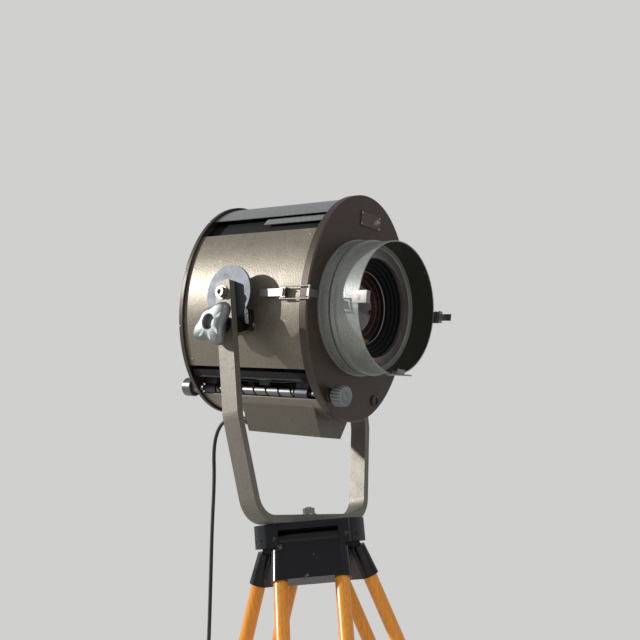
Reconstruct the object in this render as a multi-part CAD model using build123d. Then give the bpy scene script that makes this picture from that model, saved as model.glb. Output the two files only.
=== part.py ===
"""Theatre spotlight on a three-legged wooden survey stand, as an assembly of separate pieces.

Everything is built about the tilt axis: X runs along the tilt axis, the lamp faces -Y and Z is up.
Lamp pieces are drawn level, with u as the distance forward of the tilt axis (u = -Y), and are then
leaned by LAMP_LEAN. At the end all pieces move together, so that the origin lies on the floor
under the middle of the whole lamp's bounding box. Sizes are millimetres and degrees.
"""
from build123d import *
import os
from math import atan2, cos, degrees, pi, radians, sin, sqrt, tan

# ---------------------------------------------------------------- driving dimensions
# lamp house: an oval drum between a front and a rear plate
HOUSE_HALF_WIDTH = 135.7
HOUSE_HALF_HEIGHT = 185.0
FRONT_U = 145.0
REAR_U = -137.0
FRONT_RIM_DEPTH = 15.0
REAR_RIM_DEPTH = 9.2
PLATE_SHEET = 2.0
PANEL_SHEET = 1.5
PANEL_INSET = 4.5
BAFFLE_INSET = 16.0
LAMP_LEAN = 12.7
SIDE_PANEL_REACH = 38.4
TOP_COVER_REACH = 36.5
LOWER_PANEL_REACH = 30.0
BAFFLE_REACH = 56.0
RIM_ROUND = 2.5

# inner floor that the works hang from
FLOOR_RISE = 67.0
FLOOR_HALF_WIDTH = 91.5
FLOOR_LIP = 11.0
FLOOR_SLOT_HALF = 13.0

# terminal box under the house
BOX_FRONT_U = 107.0
BOX_REAR_U = -50.0
BOX_LAP = 19.0
BOX_DROP = 28.0
BOX_TOP_HALF = 50.0
BOX_BOTTOM_HALF = 26.0

# light-tight vent cover on the rear plate
VENT_HALF_WIDTH = 95.0
VENT_LOW_Z = -36.0
VENT_HIGH_Z = 57.0
VENT_DEPTH = 45.0
VENT_TAPER = 6.0

# lens, its ribbed mount and the hood
LENS_RADIUS = 62.0
LENS_EDGE = 5.0
LENS_CURVE = 110.0
LENS_REAR_U = 138.0
LENS_SEAT = 3.0
CONE_STEPS = 5
CONE_STEP = 5.0
CONE_WALL = 6.5
MOUNT_RADIUS = 110.5
MOUNT_ROOT_RADIUS = 104.0
RIB_RADIUS = 108.8
MOUNT_DEPTH = 31.0
BEZEL_INNER_RADIUS = 80.0
BEZEL_OUTER_RADIUS = 95.0
BEZEL_THICKNESS = 6.0
HOOD_RADIUS = 105.4
HOOD_SHEET = 1.6
HOOD_FRONT_U = 218.0
CLIP_WIDTH = 19.0
CLIP_SHEET = 1.5
CLIP_LAP = 9.0
CLIP_REACH = 16.0
TONGUE_REACH = 33.0
TONGUE_WIDTH = 11.0

# focus spindle, guide rod and lamp carriage
WORKS_X = 59.4
WORKS_RISE = 39.0
SPINDLE_RADIUS = 9.0
SPINDLE_FRONT_U = 76.0
SPINDLE_REAR_U = -95.0
SPINDLE_LEAD = 27.0
GROOVE_DEPTH = 1.8
GROOVE_WIDTH = 4.6
BEARING = 25.0
JOURNAL_RADIUS = 5.0
ROD_RADIUS = 5.0
CARRIAGE_U = 12.0
CARRIAGE_TRAVEL = 45.0
FRONT_KNOB_RADIUS = 17.3
FRONT_KNOB_FACE_U = 177.0
REAR_KNOB_RADIUS = 16.0
REAR_KNOB_FACE_U = -175.0
KNOB_THICKNESS = 20.0
BULB_RADIUS = 19.0
REFLECTOR_RADIUS = 62.0
REFLECTOR_SHEET = 1.2

# pivots, friction disc and its clamp
PIVOT_RADIUS = 6.0
DISC_RADIUS = 47.1
DISC_THICKNESS = 4.0
DISC_GAP = 1.0
HUB_RADIUS = 18.0
STUD_RADIUS = 4.0
STUD_DROP = 53.0
KNOB_BUSH_LENGTH = 16.7
STAR_THICKNESS = 20.0
STAR_REACH = 31.0
STAR_TIP = 10.0
STAR_ARM_ANGLES = (148.0, 250.0, 336.0)

# yoke of thick flat bar
YOKE_HALF_SPAN = 171.2
BAR_WIDTH = 31.8
BAR_THICKNESS = 11.9
ARM_TOP = 19.0
ARM_BEND_Z = -197.0
ARM_LEAN = 0.2
YOKE_DROP = 360.0
YOKE_CORNER = 46.0
YOKE_BEND = 60.0

# stand head and legs
HEAD_HEIGHT = 36.0
HEAD_PLATE = 10.5
HEAD_CORNER_RADIUS = 92.0
HEAD_SIDE_RADIUS = 64.0
HEAD_CORNER_ROUND = 10.0
SLOT_HALF = 47.0
CORE_RADIUS = 30.0
HINGE_RADIUS = 50.0
HINGE_DROP = 24.5
BARREL_RADIUS = 12.0
PIN_RADIUS = 5.0
BOLT_RADIUS = 5.0
LEG_AZIMUTH = -54.2
LEG_SPLAY = 21.3
POLE_HALF_SPACING = 47.0
POLE_RADIUS = 11.2
CASTING_TOP_S = 20.0
CASTING_BOTTOM_S = 70.0
CASTING_TOP_THICK = 25.0
CASTING_BOTTOM_THICK = 30.0
POLE_BOTTOM_S = 930.0
CLAMP_HEIGHT = 50.0
CLAMP_THICK = 32.0
SLIDER_WIDTH = 40.0
SLIDER_THICK = 20.0
SLIDER_TOP_S = 600.0
SLIDER_BOTTOM_S = 1010.0
SHOE_TOP_S = 985.0
TOE_S = 1060.0
TOE_RADIUS = 9.0

# mains lead
CORD_DIAMETER = 6.5
GLAND_RISE = 18.0
GLAND_X = -20.0
SLEEVE_LENGTH = 22.0
GLAND_NUT = 10.0
COIL_TURNS_WIDE = 3
COIL_LAYERS = 3
COIL_RADIUS = 36.0

# named clearances
RUNNING = 0.05
SIDE_GAP = 0.3
SEAT = 0.02

LEG_NAMES = ("front", "right", "rear")
SLEW = {"front": 0.0, "right": 120.0, "rear": 240.0}


# ---------------------------------------------------------------- small helpers
def section_plane(u):
    """Return the upright plane across the lamp at distance u forward, facing forward."""
    return Plane(origin=(0, -u, 0), x_dir=(1, 0, 0), z_dir=(0, -1, 0))


def prism(sketch, u_rear, u_front):
    """Carry a cross-section, drawn as x and z, from u_rear forward to u_front."""
    return extrude(section_plane(u_rear) * sketch, amount=u_front - u_rear)


def ring(u_rear, u_front, outer, inner):
    """Return a round ring about the lamp's optical axis."""
    return prism(Circle(outer) - Circle(inner), u_rear, u_front)


def rod_at(x, z, u_rear, u_front, radius):
    """Return a round bar along the lamp's axis at x, z."""
    return prism(Pos(x, z) * Circle(radius), u_rear, u_front)


def bar_x(x_low, x_high, y, z, radius):
    """Return a round bar along X from x_low to x_high."""
    plane = Plane(origin=(x_low, y, z), x_dir=(0, 1, 0), z_dir=(1, 0, 0))
    return extrude(plane * Circle(radius), amount=x_high - x_low)


def block(x_low, x_high, y_low, y_high, z_low, z_high):
    """Return a box from its limits."""
    size = Box(x_high - x_low, y_high - y_low, z_high - z_low)
    return Pos((x_low + x_high) / 2, (y_low + y_high) / 2, (z_low + z_high) / 2) * size


def lamp_block(x_low, x_high, u_rear, u_front, z_low, z_high):
    """Return a box in lamp terms, with u forward."""
    return block(x_low, x_high, -u_front, -u_rear, z_low, z_high)


def oval(inset):
    """Return the house's oval section, smaller all round by inset."""
    return Ellipse(HOUSE_HALF_WIDTH - inset, HOUSE_HALF_HEIGHT - inset)


def oval_strip(inset, sheet, middle, reach, u_rear, u_front):
    """Return a curved sheet of the oval, reaching an angle each way from its middle."""
    points = [(0.0, 0.0)]
    for share in (-1.0, -0.5, 0.0, 0.5, 1.0):
        angle = radians(middle + share * reach)
        points.append((2 * HOUSE_HALF_WIDTH * cos(angle), 2 * HOUSE_HALF_HEIGHT * sin(angle)))
    wedge = make_face(Polyline(*points, close=True))
    return prism((oval(inset) - oval(inset + sheet)) & wedge, u_rear, u_front)


def lamp_to_pivot(shape):
    """Lean a level lamp piece about the tilt axis."""
    return Rot(LAMP_LEAN, 0, 0) * shape


def lamp_point(x, u, z):
    """Return a lamp point, given level, after the lamp is leaned."""
    lean = radians(LAMP_LEAN)
    return (x, -u * cos(lean) - z * sin(lean), -u * sin(lean) + z * cos(lean))


# ---------------------------------------------------------------- values that follow from others
PANEL_OUTER = HOUSE_HALF_WIDTH - PANEL_INSET
FLOOR_Z = -HOUSE_HALF_HEIGHT + FLOOR_RISE
BOX_TOP_Z = -HOUSE_HALF_HEIGHT + BOX_LAP
BOX_BOTTOM_Z = -HOUSE_HALF_HEIGHT - BOX_DROP
WORKS_Z = -HOUSE_HALF_HEIGHT + WORKS_RISE
GLAND_Z = BOX_BOTTOM_Z + GLAND_RISE
INSIDE_FRONT_U = FRONT_U - PLATE_SHEET
INSIDE_REAR_U = REAR_U + PLATE_SHEET
MOUNT_FRONT_U = FRONT_U + MOUNT_DEPTH - 1.0
BEZEL_FRONT_U = MOUNT_FRONT_U
BEZEL_REAR_U = BEZEL_FRONT_U - BEZEL_THICKNESS
CONE_REAR_U = LENS_REAR_U + LENS_EDGE + 2.2
CONE_BORE = LENS_RADIUS - LENS_SEAT + (CONE_STEPS - 1) * CONE_STEP + CONE_WALL + 0.5
ARM_INNER = YOKE_HALF_SPAN - BAR_THICKNESS
DISC_OUTER_X = ARM_INNER - DISC_GAP
DISC_INNER_X = DISC_OUTER_X - DISC_THICKNESS
BASE_TOP = -YOKE_DROP + BAR_THICKNESS
HEAD_TOP = -YOKE_DROP - 0.1
HEAD_BOTTOM = HEAD_TOP - HEAD_HEIGHT
HINGE_Z = HEAD_TOP - HINGE_DROP
BASE_HALF = YOKE_HALF_SPAN - ARM_LEAN * (YOKE_DROP + ARM_BEND_Z)
POLE_TOP_S = CASTING_TOP_S + 4.0
CLAMP_TOP_S = POLE_BOTTOM_S - CLAMP_HEIGHT
FLOOR = HINGE_Z - TOE_S * cos(radians(LEG_SPLAY)) - 1.5
STAR_INNER_X = YOKE_HALF_SPAN + KNOB_BUSH_LENGTH + SIDE_GAP
LATCH_PIVOT_U = 100.0
LATCH_PIVOT_X = -138.0
LATCH_Z = 3.0
BAIL_PIVOT_U = 92.0
BAIL_HALF = 9.6
BAIL_WIRE = 1.2
LEVER_TAIL_U = 55.0
HOOK_REACH_X = -138.0
BAR_U = 151.0
BAR_X = HOOK_REACH_X - 0.4 - BAIL_WIRE
DOOR_AXIS_X = 141.0
DOOR_AXIS_U = 132.0
KNUCKLE_RADIUS = 4.0
KNUCKLE_HALF = 12.0
DOOR_PIN_RADIUS = 1.8


# ---------------------------------------------------------------- lamp house
def plate_with_rim(face_u, depth, forward):
    """Return an end plate: a flat oval face with a rim turned back over the house."""
    sign = 1.0 if forward else -1.0
    back_u = face_u - sign * depth
    low, high = min(face_u, back_u), max(face_u, back_u)
    inside = face_u - sign * PLATE_SHEET
    pocket_low, pocket_high = min(inside, back_u), max(inside, back_u)
    cap = prism(oval(0.0), low, high)
    ends = cap.edges().sort_by(Axis.Y)
    edge = ends[0] if forward else ends[-1]
    cap = fillet(edge, RIM_ROUND)
    return cap - prism(oval(PLATE_SHEET), pocket_low, pocket_high)


def make_front_plate():
    """Front plate, bored for the lens cone and the focus shaft."""
    plate = plate_with_rim(FRONT_U, FRONT_RIM_DEPTH, True)
    plate -= prism(Circle(CONE_BORE), INSIDE_FRONT_U - 1, FRONT_U + 1)
    plate -= rod_at(-WORKS_X, WORKS_Z, INSIDE_FRONT_U - 1, FRONT_U + 1, JOURNAL_RADIUS + 3.0)
    return plate


def make_rear_plate():
    """Rear plate, with the focus shaft's hole and a large air opening under the vent cover."""
    plate = plate_with_rim(REAR_U, REAR_RIM_DEPTH, False)
    plate -= rod_at(-WORKS_X, WORKS_Z, REAR_U - 1, INSIDE_REAR_U + 1, JOURNAL_RADIUS + 3.0)
    opening = Pos(0, (VENT_LOW_Z + VENT_HIGH_Z) / 2) * Rectangle(2 * VENT_HALF_WIDTH - 30, 62)
    return plate - prism(opening, REAR_U - 1, INSIDE_REAR_U + 1)


def make_side_panel(middle):
    """Curved side panel between the end plates, bored for the pivot hub."""
    panel = oval_strip(PANEL_INSET, PANEL_SHEET, middle, SIDE_PANEL_REACH, INSIDE_REAR_U, INSIDE_FRONT_U)
    side = -1.0 if middle > 90 else 1.0
    hole = bar_x(-20, 20, 0, 0, HUB_RADIUS - 4 + SEAT)
    return panel - Pos(side * PANEL_OUTER, 0, 0) * hole


def make_inner_floor():
    """Folded floor inside the house with a slot that the carriage neck runs in."""
    sheet = lamp_block(-FLOOR_HALF_WIDTH, FLOOR_HALF_WIDTH, INSIDE_REAR_U, INSIDE_FRONT_U,
                       FLOOR_Z - PANEL_SHEET, FLOOR_Z)
    for side in (-1, 1):
        edge = side * (FLOOR_HALF_WIDTH - PANEL_SHEET / 2)
        sheet += lamp_block(edge - PANEL_SHEET / 2, edge + PANEL_SHEET / 2, INSIDE_REAR_U,
                            INSIDE_FRONT_U, FLOOR_Z - FLOOR_LIP, FLOOR_Z)
    run = CARRIAGE_TRAVEL + 14.0
    slot = lamp_block(-FLOOR_SLOT_HALF, FLOOR_SLOT_HALF, CARRIAGE_U - run, CARRIAGE_U + run,
                      FLOOR_Z - 5, FLOOR_Z + 5)
    return sheet - slot


def box_section(shrink):
    """Return the terminal box's trapezoid section, smaller all round by shrink."""
    corners = [(-BOX_TOP_HALF + shrink, BOX_TOP_Z), (-BOX_BOTTOM_HALF + shrink, BOX_BOTTOM_Z + shrink),
               (BOX_BOTTOM_HALF - shrink, BOX_BOTTOM_Z + shrink), (BOX_TOP_HALF - shrink, BOX_TOP_Z)]
    return make_face(Polyline(*corners, close=True))


def make_terminal_box():
    """Folded box under the house where the mains lead comes in."""
    shell = prism(box_section(0), BOX_REAR_U, BOX_FRONT_U)
    shell -= prism(box_section(PANEL_SHEET), BOX_REAR_U + PANEL_SHEET, BOX_FRONT_U - PANEL_SHEET)
    shell -= prism(oval(PANEL_INSET), BOX_REAR_U - 1, BOX_FRONT_U + 1)
    return shell - rod_at(GLAND_X, GLAND_Z, BOX_REAR_U - 1, BOX_REAR_U + 5, CORD_DIAMETER / 2 + 1.5)


def make_vent_cover():
    """Shallow tapered cover on the rear plate, with air slots in its top and bottom."""
    middle = (VENT_LOW_Z + VENT_HIGH_Z) / 2
    tall = VENT_HIGH_Z - VENT_LOW_Z
    back = Plane(origin=(0, -REAR_U, 0), x_dir=(-1, 0, 0), z_dir=(0, 1, 0))
    outside = extrude(back * Pos(0, middle) * Rectangle(2 * VENT_HALF_WIDTH, tall),
                      amount=VENT_DEPTH, taper=VENT_TAPER)
    wall = 2 * PANEL_SHEET
    inside = extrude(back * Pos(0, middle) * Rectangle(2 * VENT_HALF_WIDTH - wall, tall - wall),
                     amount=VENT_DEPTH - PANEL_SHEET, taper=VENT_TAPER)
    cover = outside - inside
    for step in range(-3, 4):
        cover -= lamp_block(step * 24 - 8, step * 24 + 8, REAR_U - 26, REAR_U - 20, VENT_LOW_Z - 5,
                            VENT_HIGH_Z + 5)
    return cover


# ---------------------------------------------------------------- optics
def make_lens_mount():
    """Ribbed ring on the front plate that carries the lens cone and the hood."""
    mount = ring(FRONT_U, FRONT_U + 3, MOUNT_RADIUS, CONE_BORE)
    mount += ring(FRONT_U + 3, BEZEL_REAR_U, MOUNT_ROOT_RADIUS, CONE_BORE)
    mount += ring(BEZEL_REAR_U, MOUNT_FRONT_U, MOUNT_ROOT_RADIUS, BEZEL_OUTER_RADIUS + SEAT)
    for rib_u in (FRONT_U + 12, FRONT_U + 23):
        mount += ring(rib_u, rib_u + 7, RIB_RADIUS, MOUNT_ROOT_RADIUS - 1)
    return mount


def make_lens_cone():
    """Black stepped cone between the bezel and the lens, with the lens's seat at its rear."""
    cone = ring(LENS_REAR_U, CONE_REAR_U, LENS_RADIUS + CONE_WALL - LENS_SEAT, LENS_RADIUS + SEAT)
    depth = (BEZEL_REAR_U - CONE_REAR_U) / CONE_STEPS
    for step in range(CONE_STEPS):
        inner = LENS_RADIUS - LENS_SEAT + step * CONE_STEP
        start = CONE_REAR_U + step * depth
        cone += ring(start - (1.5 if step else 0.0), start + depth, inner + CONE_WALL, inner)
    return cone


def make_lens():
    """Plano-convex lens with its flat side to the lamp."""
    rim = prism(Circle(LENS_RADIUS), LENS_REAR_U, LENS_REAR_U + 60)
    apex = LENS_REAR_U + LENS_EDGE + LENS_CURVE - sqrt(LENS_CURVE**2 - LENS_RADIUS**2)
    ball = Pos(0, -(apex - LENS_CURVE), 0) * Sphere(LENS_CURVE)
    return rim & ball


def make_lens_rings():
    """Retainer behind the lens and bright bezel round the mouth of the cone."""
    retainer = ring(LENS_REAR_U - 3, LENS_REAR_U, LENS_RADIUS + CONE_WALL - LENS_SEAT,
                    LENS_RADIUS - LENS_SEAT)
    bezel = ring(BEZEL_REAR_U, BEZEL_FRONT_U, BEZEL_OUTER_RADIUS, BEZEL_INNER_RADIUS)
    return [retainer, bezel]


def make_hood():
    """Round sheet hood with a flange that screws on the ribbed mount."""
    hood = ring(MOUNT_FRONT_U, HOOD_FRONT_U, HOOD_RADIUS, HOOD_RADIUS - HOOD_SHEET)
    return hood + ring(MOUNT_FRONT_U, MOUNT_FRONT_U + 2, HOOD_RADIUS, BEZEL_OUTER_RADIUS + 2)


def make_clips():
    """Three bent strips on the hood's edge that hold a colour frame, two of them with a tongue."""
    front = HOOD_FRONT_U + CLIP_REACH
    inner = HOOD_RADIUS + SEAT
    strap = ring(HOOD_FRONT_U - CLIP_LAP, front, inner + CLIP_SHEET, inner)
    strap += ring(front - CLIP_SHEET, front, inner + CLIP_SHEET, inner - 8)
    strap += ring(HOOD_FRONT_U + 6, HOOD_FRONT_U + 6 + CLIP_SHEET, inner + CLIP_SHEET, inner - 5)
    clips = []
    tongue = ring(front - 2, HOOD_FRONT_U + TONGUE_REACH, inner + CLIP_SHEET, inner)
    for turn in (0, 180, 270):
        lane = prism(Rot(0, 0, turn) * Pos(HOOD_RADIUS, 0) * Rectangle(40, CLIP_WIDTH), 0, front + 5)
        clip = strap & lane
        if turn != 180:
            slip = Rot(0, 0, turn) * Pos(HOOD_RADIUS, 0) * Rectangle(40, TONGUE_WIDTH)
            clip += tongue & prism(slip, 0, HOOD_FRONT_U + TONGUE_REACH + 5)
        clips.append(clip)
    return clips


# ---------------------------------------------------------------- focusing works
def make_spindle():
    """Focus spindle with one steep helical groove and a journal at each end."""
    length = SPINDLE_FRONT_U - SPINDLE_REAR_U
    core = rod_at(0, 0, SPINDLE_REAR_U, SPINDLE_FRONT_U, SPINDLE_RADIUS)
    overrun = SPINDLE_LEAD
    start_u = CARRIAGE_U - SPINDLE_LEAD * round(length / SPINDLE_LEAD / 2 + 1)
    turns_length = length + 2 * overrun
    top = Plane(origin=(0, -start_u, 0), x_dir=(0, 0, 1), z_dir=(0, -1, 0))
    path = Helix(SPINDLE_LEAD, turns_length, SPINDLE_RADIUS)
    cutter_plane = Plane(origin=path @ 0, x_dir=(1, 0, 0), z_dir=path % 0)
    profile = cutter_plane * Rectangle(2 * GROOVE_DEPTH, GROOVE_WIDTH)
    groove = top.location * sweep(profile, path=path, is_frenet=True)
    spindle = core - groove
    spindle += rod_at(0, 0, SPINDLE_FRONT_U, SPINDLE_FRONT_U + BEARING + 7, JOURNAL_RADIUS)
    spindle += rod_at(0, 0, REAR_KNOB_FACE_U + 8, SPINDLE_REAR_U, JOURNAL_RADIUS)
    return Pos(-WORKS_X, 0, WORKS_Z) * spindle


def make_front_knob():
    """Front focus knob on a stub shaft that lines up with the spindle when the front is shut."""
    knob = rod_at(-WORKS_X, WORKS_Z, FRONT_KNOB_FACE_U - KNOB_THICKNESS, FRONT_KNOB_FACE_U,
                  FRONT_KNOB_RADIUS)
    knob = chamfer(knob.edges().filter_by(GeomType.CIRCLE), 1.5)
    knob += rod_at(-WORKS_X, WORKS_Z, FRONT_U + 6, FRONT_KNOB_FACE_U - KNOB_THICKNESS, 10.0)
    stub_u = SPINDLE_FRONT_U + BEARING + 9
    return knob + rod_at(-WORKS_X, WORKS_Z, stub_u, FRONT_U + 7, JOURNAL_RADIUS)


def make_rear_knob():
    """Rear focus knob, pressed on the spindle's rear end."""
    rear = rod_at(-WORKS_X, WORKS_Z, REAR_KNOB_FACE_U, REAR_KNOB_FACE_U + KNOB_THICKNESS,
                  REAR_KNOB_RADIUS)
    rear = chamfer(rear.edges().filter_by(GeomType.CIRCLE), 1.5)
    rear += rod_at(-WORKS_X, WORKS_Z, REAR_KNOB_FACE_U + KNOB_THICKNESS, REAR_U - 6, 10.0)
    return rear - rod_at(-WORKS_X, WORKS_Z, REAR_KNOB_FACE_U + 7.9, REAR_U, JOURNAL_RADIUS + SEAT)


def make_bushes():
    """Spindle bearings and rod brackets, all hanging from the inner floor."""
    pieces = []
    for low_u in (SPINDLE_FRONT_U + 4, SPINDLE_REAR_U - BEARING - 4):
        for x, bore in ((-WORKS_X, JOURNAL_RADIUS + RUNNING), (WORKS_X, ROD_RADIUS + SEAT)):
            bearing = rod_at(x, WORKS_Z, low_u, low_u + BEARING, 9.8)
            bearing += lamp_block(x - 6, x + 6, low_u, low_u + BEARING, WORKS_Z + 5,
                                  FLOOR_Z - PANEL_SHEET)
            pieces.append(bearing - rod_at(x, WORKS_Z, low_u - 1, low_u + BEARING + 1, bore))
    return pieces


def make_front_collars():
    """Collar for the front knob's stub, and the plug opposite it where the rod is drawn out."""
    collar = rod_at(-WORKS_X, WORKS_Z, FRONT_U, FRONT_U + 5, 11.0)
    collar -= rod_at(-WORKS_X, WORKS_Z, FRONT_U - 1, FRONT_U + 6, JOURNAL_RADIUS + RUNNING)
    plug = rod_at(WORKS_X, WORKS_Z, FRONT_U, FRONT_U + 3, 9.5)
    return [collar, plug - rod_at(WORKS_X, WORKS_Z, FRONT_U + 1, FRONT_U + 4, ROD_RADIUS + 1)]


def make_guide_rod():
    """Guide rod between the end plates, opposite the spindle."""
    return rod_at(WORKS_X, WORKS_Z, INSIDE_REAR_U, SPINDLE_FRONT_U + BEARING + 7, ROD_RADIUS)


def make_carriage():
    """Cross bar on the guide rod, with the groove follower, the neck and the mirror arm."""
    bar_low = WORKS_Z + SPINDLE_RADIUS + 0.6
    bar_high = bar_low + 8.0
    half = 11.0
    carriage = lamp_block(-WORKS_X - 7, WORKS_X + 9.5, CARRIAGE_U - half, CARRIAGE_U + half, bar_low,
                          bar_high)
    carriage += lamp_block(WORKS_X - 9.5, WORKS_X + 9.5, CARRIAGE_U - half, CARRIAGE_U + half,
                           WORKS_Z - 7.5, bar_high)
    carriage -= rod_at(WORKS_X, WORKS_Z, CARRIAGE_U - half - 1, CARRIAGE_U + half + 1,
                       ROD_RADIUS + RUNNING)
    pin_tip = WORKS_Z + SPINDLE_RADIUS - GROOVE_DEPTH + 0.4
    carriage += Pos(-WORKS_X, -CARRIAGE_U, (pin_tip + bar_low + 1) / 2) * Cylinder(
        GROOVE_WIDTH / 2 - 0.6, bar_low + 1 - pin_tip)
    carriage += lamp_block(-11, 11, CARRIAGE_U - 10, CARRIAGE_U + 10, bar_high, -80)
    arm_u = CARRIAGE_U - 40
    carriage += lamp_block(-6, 6, arm_u, CARRIAGE_U - 9, -96, -90)
    carriage += lamp_block(-6, 6, arm_u - 3, arm_u, -96, -44)
    return carriage


def make_lampholder():
    """Ceramic lampholder on the carriage neck."""
    base = Pos(0, -CARRIAGE_U, -72) * Cylinder(18, 16)
    cup = Pos(0, -CARRIAGE_U, -56) * Cylinder(15, 16)
    return base + cup - Pos(0, -CARRIAGE_U, -53) * Cylinder(12 + SEAT, 10.02)


def make_bulb():
    """Tubular projector lamp: a brass cap and a domed glass envelope."""
    cap = Pos(0, -CARRIAGE_U, -44) * Cylinder(12, 28)
    glass = Pos(0, -CARRIAGE_U, 0) * Cylinder(BULB_RADIUS, 60)
    dome = Pos(0, -CARRIAGE_U, 30) * Sphere(BULB_RADIUS)
    return [cap, glass + dome]


def make_reflector():
    """Spherical mirror behind the lamp, held on the carriage's arm."""
    shell = Sphere(REFLECTOR_RADIUS) - Sphere(REFLECTOR_RADIUS - REFLECTOR_SHEET)
    keep = block(-80, 80, 37, 80, -80, 80)
    slot = block(-7, 7, 30, 80, -80, -43.5)
    return Pos(0, -CARRIAGE_U, 0) * ((shell & keep) - slot)


# ---------------------------------------------------------------- latch
def make_latch_base():
    """Latch base on the side panel with two ears and their pin."""
    skin = -PANEL_OUTER - SEAT
    half = 8.0
    base = lamp_block(skin - 2.2, skin, 62, 106, LATCH_Z - half, LATCH_Z + half)
    for side in (-1, 1):
        edge = LATCH_Z + side * (half - 0.75)
        base += lamp_block(LATCH_PIVOT_X - 3.5, skin - 1, LATCH_PIVOT_U - 5, LATCH_PIVOT_U + 5,
                           edge - 0.75, edge + 0.75)
    pin = Pos(LATCH_PIVOT_X, -LATCH_PIVOT_U, LATCH_Z) * Cylinder(1.5, 2 * half)
    return base + pin


def make_latch_lever():
    """Over-centre lever that folds flat towards the rear."""
    half = 6.0
    low = LATCH_PIVOT_X - 3.0
    lever = lamp_block(low - 1.5, low, LEVER_TAIL_U, LATCH_PIVOT_U, LATCH_Z - half, LATCH_Z + half)
    lever += lamp_block(low - 3.5, low, LEVER_TAIL_U - 3, LEVER_TAIL_U, LATCH_Z - half, LATCH_Z + half)
    for side in (-1, 1):
        edge = LATCH_Z + side * (half - 0.75)
        lever += lamp_block(low, LATCH_PIVOT_X + 2.8, BAIL_PIVOT_U - 3.5, LATCH_PIVOT_U + 3,
                            edge - 0.75, edge + 0.75)
    lever -= Pos(LATCH_PIVOT_X, -LATCH_PIVOT_U, LATCH_Z) * Cylinder(1.5 + RUNNING, 40)
    return lever - Pos(LATCH_PIVOT_X, -BAIL_PIVOT_U, LATCH_Z) * Cylinder(BAIL_WIRE + RUNNING, 40)


def make_latch_bail():
    """Wire bail hinged in the lever: two wires and the crossbar that draws on the catch."""
    bail = Pos(LATCH_PIVOT_X, -BAIL_PIVOT_U, LATCH_Z) * Cylinder(BAIL_WIRE, 2 * BAIL_HALF)
    for side in (-1, 1):
        bail += rod_at(LATCH_PIVOT_X, LATCH_Z + side * BAIL_HALF, BAIL_PIVOT_U, BAR_U + BAIL_WIRE, BAIL_WIRE)
    return bail + Pos(BAR_X, -BAR_U, LATCH_Z) * Cylinder(BAIL_WIRE, 2 * (BAIL_HALF + BAIL_WIRE))


def make_catch_plate():
    """Riveted catch plate on the front plate, with a lip that just misses the latch's crossbar."""
    plate = lamp_block(HOOK_REACH_X, -MOUNT_RADIUS - 1, FRONT_U, FRONT_U + PLATE_SHEET, LATCH_Z - 6,
                       LATCH_Z + 6)
    return plate + lamp_block(HOOK_REACH_X, HOOK_REACH_X + 1.6, FRONT_U, FRONT_U + 4.6, LATCH_Z - 6,
                              LATCH_Z + 6)


def make_hinge_leaf():
    """Fixed half of the front plate's hinge, with its pin, on the right side panel."""
    skin = PANEL_OUTER + SEAT
    half = KNUCKLE_HALF
    leaf = lamp_block(skin, skin + 2, 96, 128, -2 * half, 2 * half)
    leaf += lamp_block(skin, DOOR_AXIS_X + 2, 125, 128, -half, half)
    leaf += lamp_block(DOOR_AXIS_X - 3, DOOR_AXIS_X + 2, 125, DOOR_AXIS_U, -half, half)
    leaf += Pos(DOOR_AXIS_X, -DOOR_AXIS_U, 0) * Cylinder(KNUCKLE_RADIUS, 2 * half)
    return leaf + Pos(DOOR_AXIS_X, -DOOR_AXIS_U, 0) * Cylinder(DOOR_PIN_RADIUS, 5 * half)


def make_door_knuckles():
    """Two knuckles on the front plate's rim that turn on the hinge pin."""
    knuckles = []
    for side in (-1, 1):
        low = KNUCKLE_HALF + SIDE_GAP
        tall = 1.5 * KNUCKLE_HALF
        middle = side * (low + tall / 2)
        knuckle = Pos(DOOR_AXIS_X, -DOOR_AXIS_U, middle) * Cylinder(KNUCKLE_RADIUS, tall)
        arm = lamp_block(128, DOOR_AXIS_X, DOOR_AXIS_U, DOOR_AXIS_U + 9, middle - tall / 2, middle + tall / 2)
        knuckle += arm
        knuckle -= prism(oval(-SEAT), DOOR_AXIS_U - 10, DOOR_AXIS_U + 20)
        knuckles.append(knuckle - Pos(DOOR_AXIS_X, -DOOR_AXIS_U, middle) * Cylinder(
            DOOR_PIN_RADIUS + RUNNING, 2 * tall))
    return knuckles


def make_label_plate():
    """Blank riveted plate near the top of the front plate."""
    high = HOUSE_HALF_HEIGHT - 28
    return lamp_block(-20, 33, FRONT_U, FRONT_U + 1.5, high - 23, high)


# ---------------------------------------------------------------- pivots, friction disc, clamp
def make_pivot_hub(side, with_disc):
    """Return a pivot hub through the side panel; one of them carries the friction disc."""
    outer_x = DISC_OUTER_X if with_disc else ARM_INNER - SIDE_GAP
    hub = bar_x(PANEL_OUTER + 0.4, DISC_INNER_X if with_disc else outer_x, 0, 0, HUB_RADIUS)
    hub += bar_x(PANEL_OUTER - 8, PANEL_OUTER + 1, 0, 0, HUB_RADIUS - 4)
    hub += bar_x(PANEL_OUTER - 8, PANEL_OUTER - PANEL_SHEET - 1.6, 0, 0, HUB_RADIUS + 6)
    if with_disc:
        hub += bar_x(DISC_INNER_X, DISC_OUTER_X, 0, 0, DISC_RADIUS)
    hub -= bar_x(PANEL_OUTER - 9, outer_x + 1, 0, 0, PIVOT_RADIUS + SEAT)
    return hub if side > 0 else mirror(hub, about=Plane.YZ)


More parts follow.
